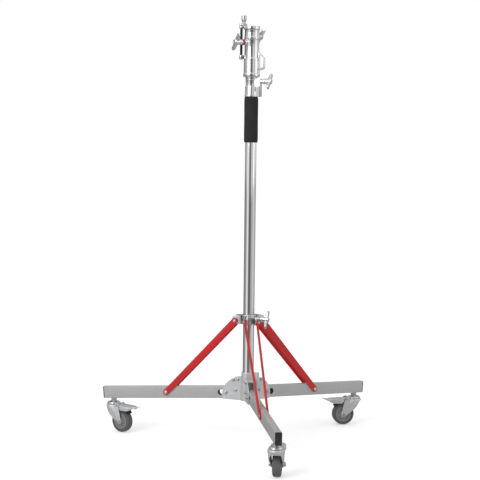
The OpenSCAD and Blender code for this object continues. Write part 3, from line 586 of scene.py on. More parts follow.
def leg_steel(name):
    """Satin silver-grey coat on steel tube: flake, orange peel, scuffs that dull it, bright scratches."""
    net = Finish(name, (0.46, 0.46, 0.465), 0.35)
    flake = net.noise(2600.0, 2, 0.6)
    peel = net.effect("peel", Scale=1100.0, Wave=70.0)
    scuff = net.effect("smudge", Patch_Scale=14.0, Fine_Scale=110.0, Amount=0.9)
    scratch = net.effect("scratches", Scale=45.0, Amount=0.9)
    dust = net.effect("dust", Amount=0.30, Scale=60.0)
    shade = net.mix(net.spread(flake, 0.3, 0.7), (0.43, 0.43, 0.435), (0.49, 0.49, 0.495))
    shade = net.mix(scuff, shade, (0.34, 0.34, 0.34), 0.35)
    shade = net.mix(scratch, shade, (0.70, 0.70, 0.71), 0.6)
    shade = net.mix(dust, shade, (0.58, 0.57, 0.55))
    rough = net.plus(net.spread(peel, 0.6, 1.0, 0.36, 0.44), (scuff, 0.15))
    return net.done(shade, rough, peel, 0.05, 0.35)


def red_paint(name):
    """Red powder coat: orange peel, dark rubs, a few chips down to the primer."""
    net = Finish(name, (0.60, 0.010, 0.012), 0.0, 0.35, 0.08)
    net.shader.inputs["Coat Roughness"].default_value = 0.2
    peel = net.effect("peel", Scale=1000.0, Wave=90.0)
    rub = net.effect("smudge", Patch_Scale=12.0, Fine_Scale=90.0, Amount=1.0)
    scratch = net.effect("scratches", Scale=55.0, Amount=0.8)
    cloud = net.spread(net.noise(16.0, 3, 0.5), 0.3, 0.7)
    shade = net.mix(cloud, (0.62, 0.010, 0.012), (0.54, 0.012, 0.015))
    shade = net.mix(rub, shade, (0.33, 0.012, 0.014), 0.5)
    shade = net.mix(scratch, shade, (0.72, 0.22, 0.2), 0.5)
    rough = net.plus(net.spread(peel, 0.6, 1.0, 0.30, 0.38), (rub, 0.2))
    return net.done(shade, rough, peel, 0.05, 0.4)


def foam(name):
    """Closed-cell foam: small round cells, larger dents, a greyed and slightly shiny skin."""
    net = Finish(name, (0.022, 0.022, 0.0225), 0.0, 0.2)
    dent = net.noise(120.0, 3, 0.6)
    worn = net.effect("smudge", Patch_Scale=22.0, Fine_Scale=420.0, Amount=1.0)
    depth = net.spread(net.cells(900.0)["Distance"], 0.0, 0.6)
    shade = net.mix(depth, (0.016, 0.016, 0.0165), (0.027, 0.027, 0.0275))
    shade = net.mix(worn, shade, (0.042, 0.0415, 0.041), 0.6)
    return net.done(shade, net.spread(worn, 0, 1, 0.86, 0.62), net.plus(depth, (dent, 1.5)), 0.12, 0.6)


def moulded(name, colour, rough, specular=0.5, grain=1400.0, dusty=0.3):
    """Moulded plastic or rubber: fine spark-eroded grain, handling marks, dust on top."""
    speckle = 0.12
    net = Finish(name, colour, 0.0, specular)
    skin = net.noise(grain, 2, 0.6)
    rub = net.effect("smudge", Patch_Scale=40.0, Fine_Scale=300.0, Amount=1.0)
    dust = net.effect("dust", Amount=dusty, Scale=160.0)
    lighter = [c * (1 + speckle) + 0.004 for c in colour]
    darker = [c * (1 - speckle) for c in colour]
    shade = net.mix(net.spread(skin, 0.3, 0.7), darker, lighter)
    shade = net.mix(rub, shade, [0.6 * c + 0.10 for c in colour], 0.35)
    shade = net.mix(dust, shade, (0.30, 0.29, 0.27))
    rough = net.plus(net.spread(skin, 0.3, 0.7, rough, rough + 0.1), (rub, -0.12))
    return net.done(shade, rough, skin, 0.04, 0.5)


def bronze(name):
    """Sintered bronze: small pores and a brown film."""
    clean = (0.56, 0.42, 0.20)
    net = Finish(name, clean, 1.0)
    film = net.effect("smudge", Patch_Scale=120.0, Fine_Scale=700.0, Amount=1.0)
    shade = net.mix(film, clean, (0.32, 0.22, 0.11))
    return net.done(shade, net.spread(film, 0, 1, 0.3, 0.5), net.cells(2200.0)["Distance"], 0.03, 0.4)


MATERIALS = {make.__name__: make(make.__name__) for make in (
    chrome_tube, cast_chrome, cast_satin, zinc_plate, zinc_fastener, leg_steel, red_paint, foam, bronze)}
for slot, colour, values in (
        ("black_plastic", (0.022, 0.022, 0.0225), dict(rough=0.5, specular=0.3, dusty=0.15)),
        ("grey_nylon", (0.22, 0.22, 0.22), dict(rough=0.4)),
        ("red_plastic", (0.42, 0.035, 0.06), dict(rough=0.28, dusty=0.1)),
        ("wheel_plastic", (0.25, 0.25, 0.252), dict(rough=0.42, dusty=0.15)),
        ("tyre_rubber", (0.115, 0.115, 0.116), dict(rough=0.62, specular=0.3, grain=900.0, dusty=0.2)),
        ("black_rubber", (0.012, 0.012, 0.012), dict(rough=0.5, specular=0.4, dusty=0.1))):
    MATERIALS[slot] = moulded(slot, colour, **values)


# Column and riser

def column():
    """Column and riser: two tubes on the column's axis with the same wall."""
    wall = 1.5
    for name, segments in (("column", 128), ("riser", 112)):
        low, high = mm_box(f"{name}_tube")
        r = (high[0] - low[0]) / 2
        tube = pipe(r - wall, r, low[2], high[2])
        piece(name, name, "chrome_tube", lathe(on_column(), tube, segments, 0.5), [f"{name}_tube"])


def grip():
    """Foam sleeve: a turned profile whose radius swells by a slow wave and dips towards its ends.
    r = R - dip * (1 - sin(pi v))^6 + wave * sin(3 pi v) along the sleeve, v from 0 to 1. Its ends
    roll in by a quarter circle of radius lip."""
    low, high = mm_box("foam_grip")
    r_out, r_in = (high[0] - low[0]) / 2 - 0.1, COLUMN_R + 0.1
    length = high[2] - low[2]
    lip, dip, wave = 3.0, 0.5, 0.12
    v = np.linspace(lip / length, 1 - lip / length, 44)
    side = np.stack([r_out - dip * (1 - np.sin(np.pi * v)) ** 6 + wave * np.sin(3 * np.pi * v),
                     low[2] + v * length], axis=1)
    turn = np.linspace(0, np.pi / 2, 6)
    roll = np.stack([np.sin(turn), 1 - np.cos(turn)], axis=1) * lip
    foot = [side[0, 0] - lip, low[2]] + roll[:-1]
    head = [side[-1, 0] - lip, high[2]] + roll[-2::-1] * [1, -1]
    ends = [[r_in, high[2]], [r_in, low[2]]]
    sleeve = piece("grip", "column", "foam", lathe(on_column(), np.vstack([foot, side, head, ends]), 112),
                   ["foam_grip"], sharp=50)


# Clamp handles

# Radius of a handle's hub, its start beyond the seat, its length, and the span over the wings
HUB_R, HUB_NECK, HUB_LEN, WING_SPAN = 8.5, 4.0, 28.0, 60.0


def wing(place, turn):
    """The handle's bar across its hub. Its front view is a bar with round ends and a waist; with w from
    0 at the hub to 1 at a tip, its half thickness is thin + swell (1 - w)^1.7 about bow w^2 - 0.4."""
    tip, waist = 7.4, 5.8
    thin, swell, bow = 2.6, 4.0, 1.6
    reach = WING_SPAN / 2 - tip
    side = np.linspace(-0.96, 0.96, 33) * reach
    narrow = waist + (tip - waist) * np.abs(side / reach) ** 1.5
    outline = np.vstack([circle(tip, (reach, 0), 21, -90, 90), np.stack([side, narrow], axis=1)[::-1],
                         circle(tip, (-reach, 0), 21, 90, 270), np.stack([side, -narrow], axis=1)])
    flat, faces = slab(Place([0, 0, 0], [1, 0, 0], UP), outline, 2.0, 0.8, 5)
    along, across, off = flat.T
    w = np.clip(np.abs(along) / (WING_SPAN / 2), 0, 1)
    x = off * (thin + swell * (1 - w) ** 1.7) + bow * w ** 2 - 0.4
    y = across * (1 - 0.10 * np.clip(np.abs(off), 0, 1))
    a = np.radians(turn)
    turned = np.stack([x, y * np.cos(a) - along * np.sin(a), y * np.sin(a) + along * np.cos(a)], axis=1)
    return place.put(turned), faces


def thread(radius, depth, pitch, length):
    """A screw's profile as (radius, distance): rings instead of a helix, radius - depth (1 + cos) / 2."""
    step = 0.3
    along = np.arange(0, length, step)
    return np.stack([radius - depth * (0.5 + 0.5 * np.cos(along / pitch * 2 * np.pi)), along], axis=1)


def tee(name, turn, screw_in, slot="cast_chrome"):
    """A handle on its screw, placed by its joint: hub turned about the screw, wings across it."""
    seat = joint_at(name + "_turn")
    out = unit(JOINTS[name + "_turn"]["axis"])
    axis = Place(seat, np.cross(UP, out), out)
    mouth, groove = 2.3, 0.6
    start, end = HUB_NECK, HUB_NECK + HUB_LEN
    hub = [(0, 0), (6.0, 0), (6.0, start - 0.6), (7.2, start), (HUB_R, start + 1.6), (HUB_R, start + 6),
           (HUB_R - groove, start + 7), (HUB_R - groove, start + 9), (HUB_R, start + 10), (HUB_R, end - 2),
           (HUB_R - 2, end), (mouth + 0.8, end), (mouth, end - 0.8), (mouth, end - 3), (0, end - 3)]
    screw = np.vstack([[[0, 0.5]], thread(4.0, 0.45, 1.25, screw_in - 1.5) * [1, -1],
                       [[3.0, -screw_in], [0, -screw_in]]])
    shape = join(lathe(axis, hub, 64, 0.5, False), lathe(axis, screw, 36, closed=False),
                 wing(Place(seat, out, UP).moved(x=end - 8), turn))
    piece(f"{name}_handle", name, slot, shape, [name], sharp=45)


# Collar and clamp castings

# From the column's axis to an ear's pin, width over a pair, thickness of one, radius of its nose
EAR_REACH, EAR_W, EAR_T, EAR_NOSE = 40.0, 33.0, 6.0, 9.5
EAR_PIN_Z = heights("brace_collar")[0] + EAR_NOSE


def boss(place, radius, low, high, flare=2.5):
    """A round boss along Z with a flared foot: its radius grows by flare * (1 - v)^3 near low."""
    v = np.linspace(0, 1, 10)
    foot = np.stack([radius + flare * (1 - v) ** 3, low + v * min(6.0, (high - low) * 0.6)], axis=1)
    rim = [(radius, high - 0.8), (radius - 0.8, high), (0, high)]
    return lathe(place, np.vstack([[[0, low]], foot, rim]), 56, closed=False)


def ear_plate(place, y, low, top, inner):
    """One ear of the collar: a block from the ring out to a round nose about the pin."""
    nose = circle(EAR_NOSE, (EAR_REACH, EAR_PIN_Z), 14, -90, 0)
    upper = circle(EAR_NOSE, (EAR_REACH, top - EAR_NOSE), 14, 0, 90)
    return slab(place.on_edge(y), np.vstack([nose, upper, [[inner, top], [inner, low]]]), EAR_T, 0.8)


def collar():
    """A turned ring with a lip at each edge, two ears and a bridge for each leg, and the screw's boss."""
    bore, r, bridge_t = COLUMN_R + 2.5, 24.0, 7.0
    foot, top = heights("brace_collar")
    ring = [(bore, foot), (r - 1, foot), (r, foot + 1), (r, foot + 5), (r - 1, foot + 6.2),
            (r - 1, top - 6.2), (r, top - 5), (r, top - 1), (r - 1, top), (bore, top)]
    shapes = [lathe(on_column(), ring, 96, 0.6)]
    ear_y, far, half = (EAR_W - EAR_T) / 2, EAR_REACH + 2.4, EAR_W / 2 - 1
    bridge = rounded([(bore + 1, -half), (far, -half), (far, half), (bore + 1, half)], [0, 2.5, 2.5, 0], 4)
    for leg in LEGS:
        place = on_column(0, leg_azimuth(leg))
        shapes += [ear_plate(place, y, foot, top - 3, bore + 1) for y in (ear_y, -ear_y)]
        shapes.append(slab(place, bridge, bridge_t, 0.8, z=top - 3 - bridge_t / 2))
    shapes.append(boss(on_screw("collar_tee"), 7.5, r - 3, EAR_REACH - 6))
    piece("collar", "collar", "cast_satin", join(*shapes), ["brace_collar"])
    liner = pipe(COLUMN_R + 0.1, COLUMN_R + 2.4, *heights("collar_bush"))
    piece("collar_liner", "collar", "grey_nylon", lathe(on_column(), liner, 96, 0.3), ["collar_bush"])


def riser_clamp():
    """A turned sleeve that steps in over the column's end, two jaws with a slit, and the screw's boss."""
    foot, top = heights("riser_clamp")
    bore, seat = COLUMN_R + 0.05, 16.35
    body_r, neck_r, flange_r = 19.7, 17.8, 21.5
    shoulder = COLUMN_TOP - 3
    profile = [(bore, foot), (flange_r - 1.5, foot), (flange_r, foot + 1.5), (flange_r, foot + 4.5),
               (flange_r - 1.5, foot + 6), (body_r, foot + 6), (body_r, shoulder - 1),
               (neck_r + 0.4, shoulder), (neck_r, shoulder + 1), (neck_r, top - 4), (neck_r + 0.6, top - 3.4),
               (neck_r + 0.6, top - 0.8), (neck_r - 0.2, top), (seat, top), (seat, COLUMN_TOP),
               (bore, COLUMN_TOP)]
    place = on_column(0, azimuth_of(JOINTS["riser_tee_turn"]["axis"]))
    jaw_r, jaw_w, slit = 31.5, 19.0, 1.6
    shapes = [lathe(on_column(), profile, 112, 0.4)]
    for side in (-1, 1):
        inner, outer = side * slit / 2, side * jaw_w / 2
        jaw = [(neck_r - 1, inner), (jaw_r, inner), (jaw_r, outer), (neck_r - 4, outer)]
        jaw = rounded(jaw, [0, 1, 3, 0], 5)[::side]
        shapes.append(slab(place, jaw, top - foot - 1, 1.0, z=(top + foot + 1) / 2))
    shapes.append(boss(on_screw("riser_tee"), 7.5, jaw_r - 4, jaw_r + 2, 1.2))
    piece("clamp", "column", "cast_chrome", join(*shapes), ["riser_clamp"])


# Head

def head_body():
    """Socket casting: turned body with its bore, then bosses, hinge lugs and the side loop."""
    low, rim = heights("socket_casting")
    spigot_len, bore_depth = 5.0, 94.0
    foot, bottom = low + spigot_len, rim - bore_depth
    r, bore, spigot = 22.5, 14.35, 15.05
    profile = [(spigot, low), (18.8, low), (18.8, foot), (r + 1, foot), (r + 3.2, foot + 2.2),
               (r + 3.2, foot + 9.8), (r + 2, foot + 12), (r + 2, foot + 55), (r + 1.6, foot + 57.5),
               (r, foot + 59), (r, rim - 41), (r + 1.2, rim - 39.5), (r + 1.2, rim - 33.2), (r, rim - 31.8),
               (r, rim - 12), (r + 2.4, rim - 10.4), (r + 2.4, rim - 2), (r + 1, rim), (bore + 1.2, rim),
               (bore, rim - 1.2), (bore, bottom), (spigot - 3, bottom), (spigot - 3, foot + 45),
               (spigot, foot + 45)]
    shapes = [lathe(on_column(), profile, 128, 0.5)]
    for handle, radius, end in (("socket_tee_front", 9.0, 28.0), ("socket_tee_back", 7.5, 29.0)):
        shapes.append(boss(on_screw(handle), radius, r - 2.5, end, 2.0))
    hinge = joint_at("arm_swing")[:2] - AXIS
    place = on_column(0, azimuth_of(hinge))
    lug, root = 6.5, 17.6
    outline = np.vstack([circle(lug, (np.linalg.norm(hinge), 0), 25, -90, 90),
                         [[root, lug + 1], [root, -lug - 1]]])
    for low, high in ((foot + 55, foot + 66), (rim - 7.6, rim)):
        shapes.append(slab(place, outline, high - low, 0.9, z=(low + high) / 2))
    outer = [(r - 2, 78), (r + 14, 62), (r + 19, 58), (r + 19, 27), (r + 15, 23), (r - 2, 19)]
    inner = [(r + 3, 68), (r + 9, 63.8), (r + 15, 59.5), (r + 15, 29), (r + 9, 27.5), (r + 3, 26)]
    loop = on_column(foot, -25.0).on_edge()
    shapes.append(hollow_slab(loop, rounded(outer, 5, 5), rounded(inner, 3, 5), 10.0, 1.2))
    piece("head", "riser", "cast_chrome", join(*shapes), ["socket_casting"])


def head_parts():
    """Swing arm, stud, hinge pin and sleeve, which turn about the hinge, and the front handle's washer."""
    hinge = joint_at("arm_swing")
    low, high = mm_box("baby_stud")
    centre = (low + high) / 2
    swing = Place([*hinge[:2], 0], centre - hinge, UP)
    reach = np.linalg.norm(centre[:2] - hinge[:2])
    foot, top = heights("swing_arm")
    wide, narrow = 10.0, 6.5
    lean = np.degrees(np.arcsin((wide - narrow) / reach))
    outline = np.vstack([circle(wide, (reach, 0), 25, -90 - lean, 90 + lean),
                         circle(narrow, (0, 0), 21, 90 + lean, 270 - lean)])
    piece("arm", "swing_arm", "cast_chrome", slab(swing, outline, top - foot, 1.2, z=(foot + top) / 2),
          ["swing_arm"])
    z, tip, r, waist = top, high[2], 8.0, 4.9
    stud = [(0, z - 6), (waist, z - 6), (waist, z), (9, z), (9, z + 1.4), (7.6, z + 2.2), (waist, z + 7),
            (waist + 0.3, z + 8.5), (r, z + 13.4), (r, tip - 1), (r - 1, tip), (3.6, tip), (3.0, tip - 0.7),
            (3.0, tip - 13), (0, tip - 14.5)]
    piece("stud", "swing_arm", "zinc_fastener", lathe(swing.moved(x=reach), stud, 72, 0.35, False),
          ["baby_stud"])
    foot, top = heights("hinge_pin")
    pin = [(0, foot), (4.4, foot), (5, foot + 0.8), (5, foot + 2), (3, foot + 2), (3, top - 2), (5, top - 2),
           (4.7, top - 0.9), (3.2, top), (0, top)]
    piece("pin", "swing_arm", "zinc_fastener", lathe(swing, pin, 48, 0.2, False), ["hinge_pin"])
    sleeve = pipe(3.05, 3.9, *heights("hinge_sleeve"))
    piece("sleeve", "swing_arm", "black_rubber", lathe(swing, sleeve, 48, 0.25), ["hinge_sleeve"])
    ring = [(4.1, 28), (8.2, 28), (9, 28.8), (9, 30), (8.4, 30.5), (9, 31), (9, 32.2), (8.2, 33), (4.1, 33)]
    piece("washer", "riser", "red_plastic", lathe(on_screw("socket_tee_front"), ring, 64, 0.3),
          ["socket_washer"])


# Hub

# A cheek plate's thickness, and how far its inner face stands from the leg's middle plane
CHEEK_T, CHEEK_Y = 2.5, 10.3


def cheek(name, leg):
    """A bent plate that runs along one leg's side, round the sleeve and along the next leg's side.
    Along its path in plan, each point has a height range: z between the lower and upper halves of a
    circle about (23, 14), cut level at the top and bottom edges."""
    bottom, top = heights(name)
    mid_r, mid_z, arc_r = 23.0, bottom + 14, 58.0
    bend_r, y = 21.05 + CHEEK_T, CHEEK_Y + CHEEK_T
    corner = np.arcsin(y / bend_r)
    start = bend_r * np.cos(corner)
    reach = mid_r + (arc_r - 0.01) * np.sin(np.linspace(np.pi / 2, 0, 40))
    reach = reach[reach > start + 0.6]
    radial = np.concatenate([reach, np.linspace(reach[-1], start + 0.4, 4)[1:]])
    wing_a = np.stack([radial, np.full_like(radial, y)], axis=1)
    back, ease = np.radians(120), 0.03
    bend = circle(bend_r, (0, 0), 26, np.degrees(corner + ease), np.degrees(back - corner - ease))
    cos, sin = np.cos(back), np.sin(back)
    wing_b = np.stack([radial * cos + y * sin, radial * sin - y * cos], axis=1)
    path = np.vstack([wing_a, bend, wing_b[::-1]])
    out = np.concatenate([radial, np.full(len(bend), start), radial[::-1]])
    half = np.sqrt(np.clip(arc_r ** 2 - (out - mid_r) ** 2, 0, None))
    low, high = np.maximum(bottom, mid_z - half), np.minimum(top, mid_z + half)
    v = np.linspace(0, 1, 14)[None, :]
    z = low[:, None] * (1 - v) + high[:, None] * v
    grid = np.stack(np.broadcast_arrays(path[:, :1], path[:, 1:], z), axis=-1)
    place = on_column(0, leg_azimuth(leg))
    made = piece(name.replace("hub_", ""), "column", "zinc_plate", at(place, surface(grid)), [name],
                 solid=CHEEK_T, bevel=0.6)
    face_towards(made, place.r[:, 0] * np.cos(back / 2) + place.r[:, 1] * np.sin(back / 2))


def face_towards(thing, direction):
    """Turns an open sheet over if its faces, weighed by area, look against a direction."""
    total = sum((f.normal * f.area for f in thing.data.polygons), Vector())
    if total.dot(Vector(direction)) < 0:
        thing.data.flip_normals()


def cross_bolt(place, stack, head_r):
    """A bolt along Y through a stack of plates: a domed head on one side, a nut on the other."""
    across = place.lying()
    shank, h = 4.0, stack / 2
    head = [(0, h), (head_r, h), (head_r, h + 1.2), (head_r - 1.4, h + 3.0), (2.4, h + 3.5), (0, h + 3.5)]
    return join(lathe(across, head, 48, 0.4, False), rod(across, shank, -h - 6.5, h),
                nut(across.flipped(), 1.73 * head_r, 3.5, h + 0.1))


def hub():
    """Sleeve with its side socket and web, three cheek plates, nine small bolts and three pivot bolts."""
    low, top = heights("hub_sleeve")
    r, bore = 21.0, COLUMN_R + 0.05
    sleeve = [(bore, low), (r, low), (r, top - 1.5), (r - 1.5, top), (bore + 0.6, top), (bore, top - 0.6)]
    place = on_column(0, -30.0)
    socket_x, socket_r, mouth, floor, foot = r + 8.5, 7.0, 4.5, top - 17, top - 49
    socket = [(0, foot), (socket_r - 1, foot), (socket_r, foot + 1), (socket_r, top - 0.8),
              (socket_r - 0.8, top), (mouth + 0.5, top), (mouth, top - 0.7), (mouth, floor), (0, floor)]
    web = np.array([(r - 1, -3.5), (socket_x, -3.5), (socket_x, 3.5), (r - 1, 3.5)])
    shape = join(lathe(on_column(), sleeve, 112, 0.4), lathe(place.moved(x=socket_x), socket, 56, 0.3, False),
                 slab(place, web, top - foot - 2, 0.5, z=(top + foot) / 2))
    piece("sleeve_hub", "column", "zinc_plate", shape, ["hub_sleeve"])
    for name, leg in (("hub_cheek_right", "front"), ("hub_cheek_back", "right"), ("hub_cheek_left", "left")):
        cheek(name, leg)
    bottom = heights("hub_cheek_back")[0]
    stack = 2 * (CHEEK_Y + CHEEK_T)
    small, large = [], []
    out_and_up = ((37, 31), (44, 64), (29.5, 66))
    for leg in LEGS:
        for out, up in out_and_up:
            small.append(cross_bolt(on_column(bottom + up, leg_azimuth(leg)).moved(x=out), stack, 5.5))
        pivot = joint_at(f"leg_{leg}_fold")
        large.append(cross_bolt(Place(pivot, [*(pivot[:2] - AXIS), 0], UP), stack, 6.5))
    piece("cheek_bolts", "column", "zinc_fastener", join(*small), ["hub_bolts"])
    piece("pivot_bolts", "column", "zinc_fastener", join(*large), ["leg_pivot_bolts"])


# Legs

LEG_H, LEG_W, LEG_WALL, LEG_CORNER, LEG_INNER_CORNER = 38.0, 20.0, 2.0, 2.5, 1.0
# The tube starts LEG_INNER inside its pivot. Its hole is HOLE_OUT from the column's axis, in plan
LEG_INNER, CAP_T = 22.0, 3.5
HOLE_R, HOLE_OUT, HOLE_STEPS = 9.5, 88.0, 23


def box_ring(height, width, corner):
    """Outline of a box tube, in Y and Z, from the middle of its +Y side round to it again:
    straight sides with round corners, and one point at the middle of each upright side."""
    y, z, steps = width / 2, height / 2, 5
    points = []
    for cy, cz, a0 in ((y - corner, z - corner, 0), (corner - y, z - corner, 90),
                       (corner - y, corner - z, 180), (y - corner, corner - z, 270)):
        points.append(circle(corner, (cy, cz), steps, a0, a0 + 90))
        if a0 == 90:
            points.append([[-y, 0.0]])
    return np.vstack([[[y, 0.0]], *points])


def tube_wall(ring, stations):
    """The ring carried along X to each station: (x, ring y, ring z)."""
    return np.array([station(ring, x) for x in stations])


def pierced_side(y, x_mid, half, top):
    """A flat panel at one Y with a round hole, as two faces: each goes along the panel's edge from
    the middle of one end to the middle of the other and comes back round half of the hole."""
    halves = []
    for s in (-1, 1):
        edge = [[x_mid - half, 0], [x_mid - half, s * top], [x_mid + half, s * top], [x_mid + half, 0]]
        x, z = np.vstack([edge, circle(HOLE_R, (x_mid, 0), HOLE_STEPS + 1, 0, s * 180)]).T
        halves.append((np.stack([x, np.full(len(x), y), z], axis=1), [list(range(len(x)))]))
    return join(*halves)


def leg(name):
    """A box tube in three lengths, outside and inside: whole on both sides of the hole, and round the
    hole a roof, a floor and two pierced sides. Rims close its ends and the hole's edge."""
    place = leg_place(name)
    along = 1 / np.sqrt(1 - place.r[2, 0] ** 2)
    end = leg_end() - CAP_T
    hole_x = (HOLE_OUT - np.linalg.norm(place.o[:2] - AXIS)) * along
    half = HOLE_R + 4
    from_x, to_x = hole_x - half, hole_x + half
    outer = box_ring(LEG_H, LEG_W, LEG_CORNER)
    inner = box_ring(LEG_H - 2 * LEG_WALL, LEG_W - 2 * LEG_WALL, LEG_INNER_CORNER)
    walls = (LEG_W / 2, LEG_W / 2 - LEG_WALL)
    tops = (LEG_H / 2 - LEG_CORNER, LEG_H / 2 - LEG_WALL - LEG_INNER_CORNER)
    shapes = []
    for ring, y, top in zip((outer, inner), walls, tops):
        for stations in ((-LEG_INNER, from_x), (to_x, end)):
            shapes.append(surface(tube_wall(ring, stations), close_v=True))
        grid = tube_wall(ring, (from_x, to_x))
        n = len(ring)
        shapes += [surface(grid[:, part]) for part in (slice(1, n // 2), slice(n // 2 + 1, n))]
        shapes += [pierced_side(s * y, hole_x, half, top) for s in (-1, 1)]
    edge_x, edge_z = circle(HOLE_R, (hole_x, 0), 2 * HOLE_STEPS).T
    for s in (-1, 1):
        edges = [np.stack([edge_x, np.full_like(edge_x, s * y), edge_z], axis=1) for y in walls]
        shapes.append(surface(np.array(edges), close_v=True))
    for x in (-LEG_INNER, end):
        shapes.append(surface(np.array([station(ring, x) for ring in (outer, inner)]), close_v=True))
    piece(f"leg_{name}", f"leg_{name}", "leg_steel", at(place, join(*shapes)), [f"leg_tube_{name}"],
          bevel=0.35)
    cap(name, place, end)


def leg_end():
    """Distance along a leg from its pivot to the cap's outer face, whose top corner reaches furthest."""
    place = leg_place("front")
    slope = abs(place.r[2, 0])
    reach = place.o[1] - mm_box("leg_cap_front")[0][1]
    return (reach - LEG_H / 2 * slope) / np.sqrt(1 - slope ** 2)


def cap(name, place, x):
    """Plastic end cap: a shallow box with round corners, its face dished a little, and its plug."""
    ring = box_ring(LEG_H, LEG_W, LEG_CORNER)
    face = x + CAP_T
    steps = [(0.0, x + 0.05), (0.0, face - 1.0), (0.35, face - 0.3), (0.9, face), (1.7, face),
             (2.1, face - 0.35)]
    gap = 2 * LEG_WALL + 0.1
    plug = box_ring(LEG_H - gap, LEG_W - gap, LEG_INNER_CORNER)
    shape = join(loft([station(inset(ring, drop), at_x) for drop, at_x in steps]),
                 loft(tube_wall(plug, (x - 12, x + 0.5))))
    piece(f"cap_{name}", f"leg_{name}", "black_plastic", at(place, shape), [f"leg_cap_{name}"])


# Braces

def brace(name):
    """Two flat bars, each with round ends, their rivets, and the pin at their lower ends. A bar runs
    from its place beside the leg to its place beside the ear, so it leans outwards a little."""
    foot = joint_at(f"brace_{name}_fold")
    place = on_column(0, leg_azimuth(name))
    foot_x, _, foot_z = (foot - place.o) @ place.r
    r, thick = 9.5, 4.0
    foot_y, head_y = (LEG_W + thick) / 2 + 0.4, (EAR_W + thick) / 2 + 0.6
    head = [(0, 0.2), (5, 0.4), (5, 1.2), (3.6, 2.3), (1.6, 2.5), (0, 2.3)]
    bars, rivets = [], []
    for side in (-1, 1):
        low = place.put([foot_x, side * foot_y, foot_z])
        high = place.put([EAR_REACH, side * head_y, EAR_PIN_Z])
        length = np.linalg.norm(high - low)
        bar = Place(low, high - low, square_to(place.r[:, 1] * side, high - low))
        outline = np.vstack([circle(r, (length, 0), 25, -90, 90), circle(r, (0, 0), 25, 90, 270)])
        bars.append(slab(bar, outline, thick, 0.7))
        rivets.append(lathe(bar.moved(x=length, z=thick / 2 - 0.5), head, 36, 0.2, False))
    piece(f"brace_{name}", f"brace_{name}", "red_paint", join(*bars), [f"brace_bars_{name}"])
    piece(f"brace_rivets_{name}", f"brace_{name}", "zinc_fastener", join(*rivets))
    pin = Place(foot, place.r[:, 0], place.r[:, 1])
    half = foot_y + thick / 2 + 0.3
    pin_head = [(0, -half), (6, -half), (5.6, -half - 1.0), (3.6, -half - 2.0), (0, -half - 2.0)]
    ends = [lathe(way, pin_head, 40, 0.3, False) for way in (pin, pin.flipped())]
    piece(f"brace_pin_{name}_shaft", f"leg_{name}", "zinc_fastener", join(*ends, rod(pin, 4.0, -half, half)),
          [f"brace_pin_{name}"])


# Casters

# A wheel stands on the floor, and its axle trails behind the swivel. Both are taken to 0.01 mm
AXLE_Z = round(joint_at("wheel_front_spin")[2], 2)
TRAIL = round(np.linalg.norm((joint_at("wheel_front_spin") - joint_at("caster_front_swivel"))[:2]), 2)
WHEEL_R, WHEEL_HALF = AXLE_Z, 12.0
# Radius of a fork's dome, half its inner width at the axle, its sheet, the height of its roof
FORK_R, FORK_IN, FORK_T, ROOF = 25.0, 14.4, 2.5, 85.0


def both_faces(profile):
    """A wheel's profile from one face, and the same mirrored for the other face."""
    return profile + [(r, -z) for r, z in profile[::-1]]


def wheel(name):
    """Tyre and centre, turned about the axle. The tread is two rounded shoulders of radius 5 with a
    crown between them that falls by 0.35 (y / h)^2."""
    axle = Place(joint_at(f"wheel_{name}_spin"), UP, JOINTS[f"wheel_{name}_spin"]["axis"])
    rim, h, round_r = 26.0, WHEEL_HALF, 5.0
    t = np.radians(np.linspace(-90, 90, 25))
    y = np.sign(t) * (h - round_r) + round_r * np.sin(t)
    tread = np.stack([WHEEL_R - round_r + round_r * np.cos(t) - 0.35 * (y / h) ** 2, y], axis=1)
    side = [(rim + 3.4, h), (rim + 3.0, h - 0.9), (rim + 2.2, h - 0.9), (rim + 1.8, h), (rim + 0.05, h - 0.2)]
    piece(f"tyre_{name}_rubber", f"wheel_{name}", "tyre_rubber",
          lathe(axle, np.vstack([tread, both_faces(side)]), 96), [f"tyre_{name}"], sharp=38)
    half = [(5.1, h + 1.5), (11.4, h + 1.5), (12.1, h + 0.8), (12.1, h - 3.6), (14.6, h - 4),
            (16.4, h - 3.2), (17.0, h - 1.6), (18.4, h - 1.6), (19.0, h - 3.4), (20.6, h - 3.4),
            (21.2, h - 1.0), (25.4, h - 1.0), (25.95, h - 1.6)]
    piece(f"wheel_{name}_centre", f"wheel_{name}", "wheel_plastic", lathe(axle, both_faces(half), 96, 0.35),
          [f"wheel_core_{name}"])


def ramp(value, low, high):
    """0 below low, 1 above high, and straight between."""
    return np.clip((value - low) / (high - low), 0, 1)


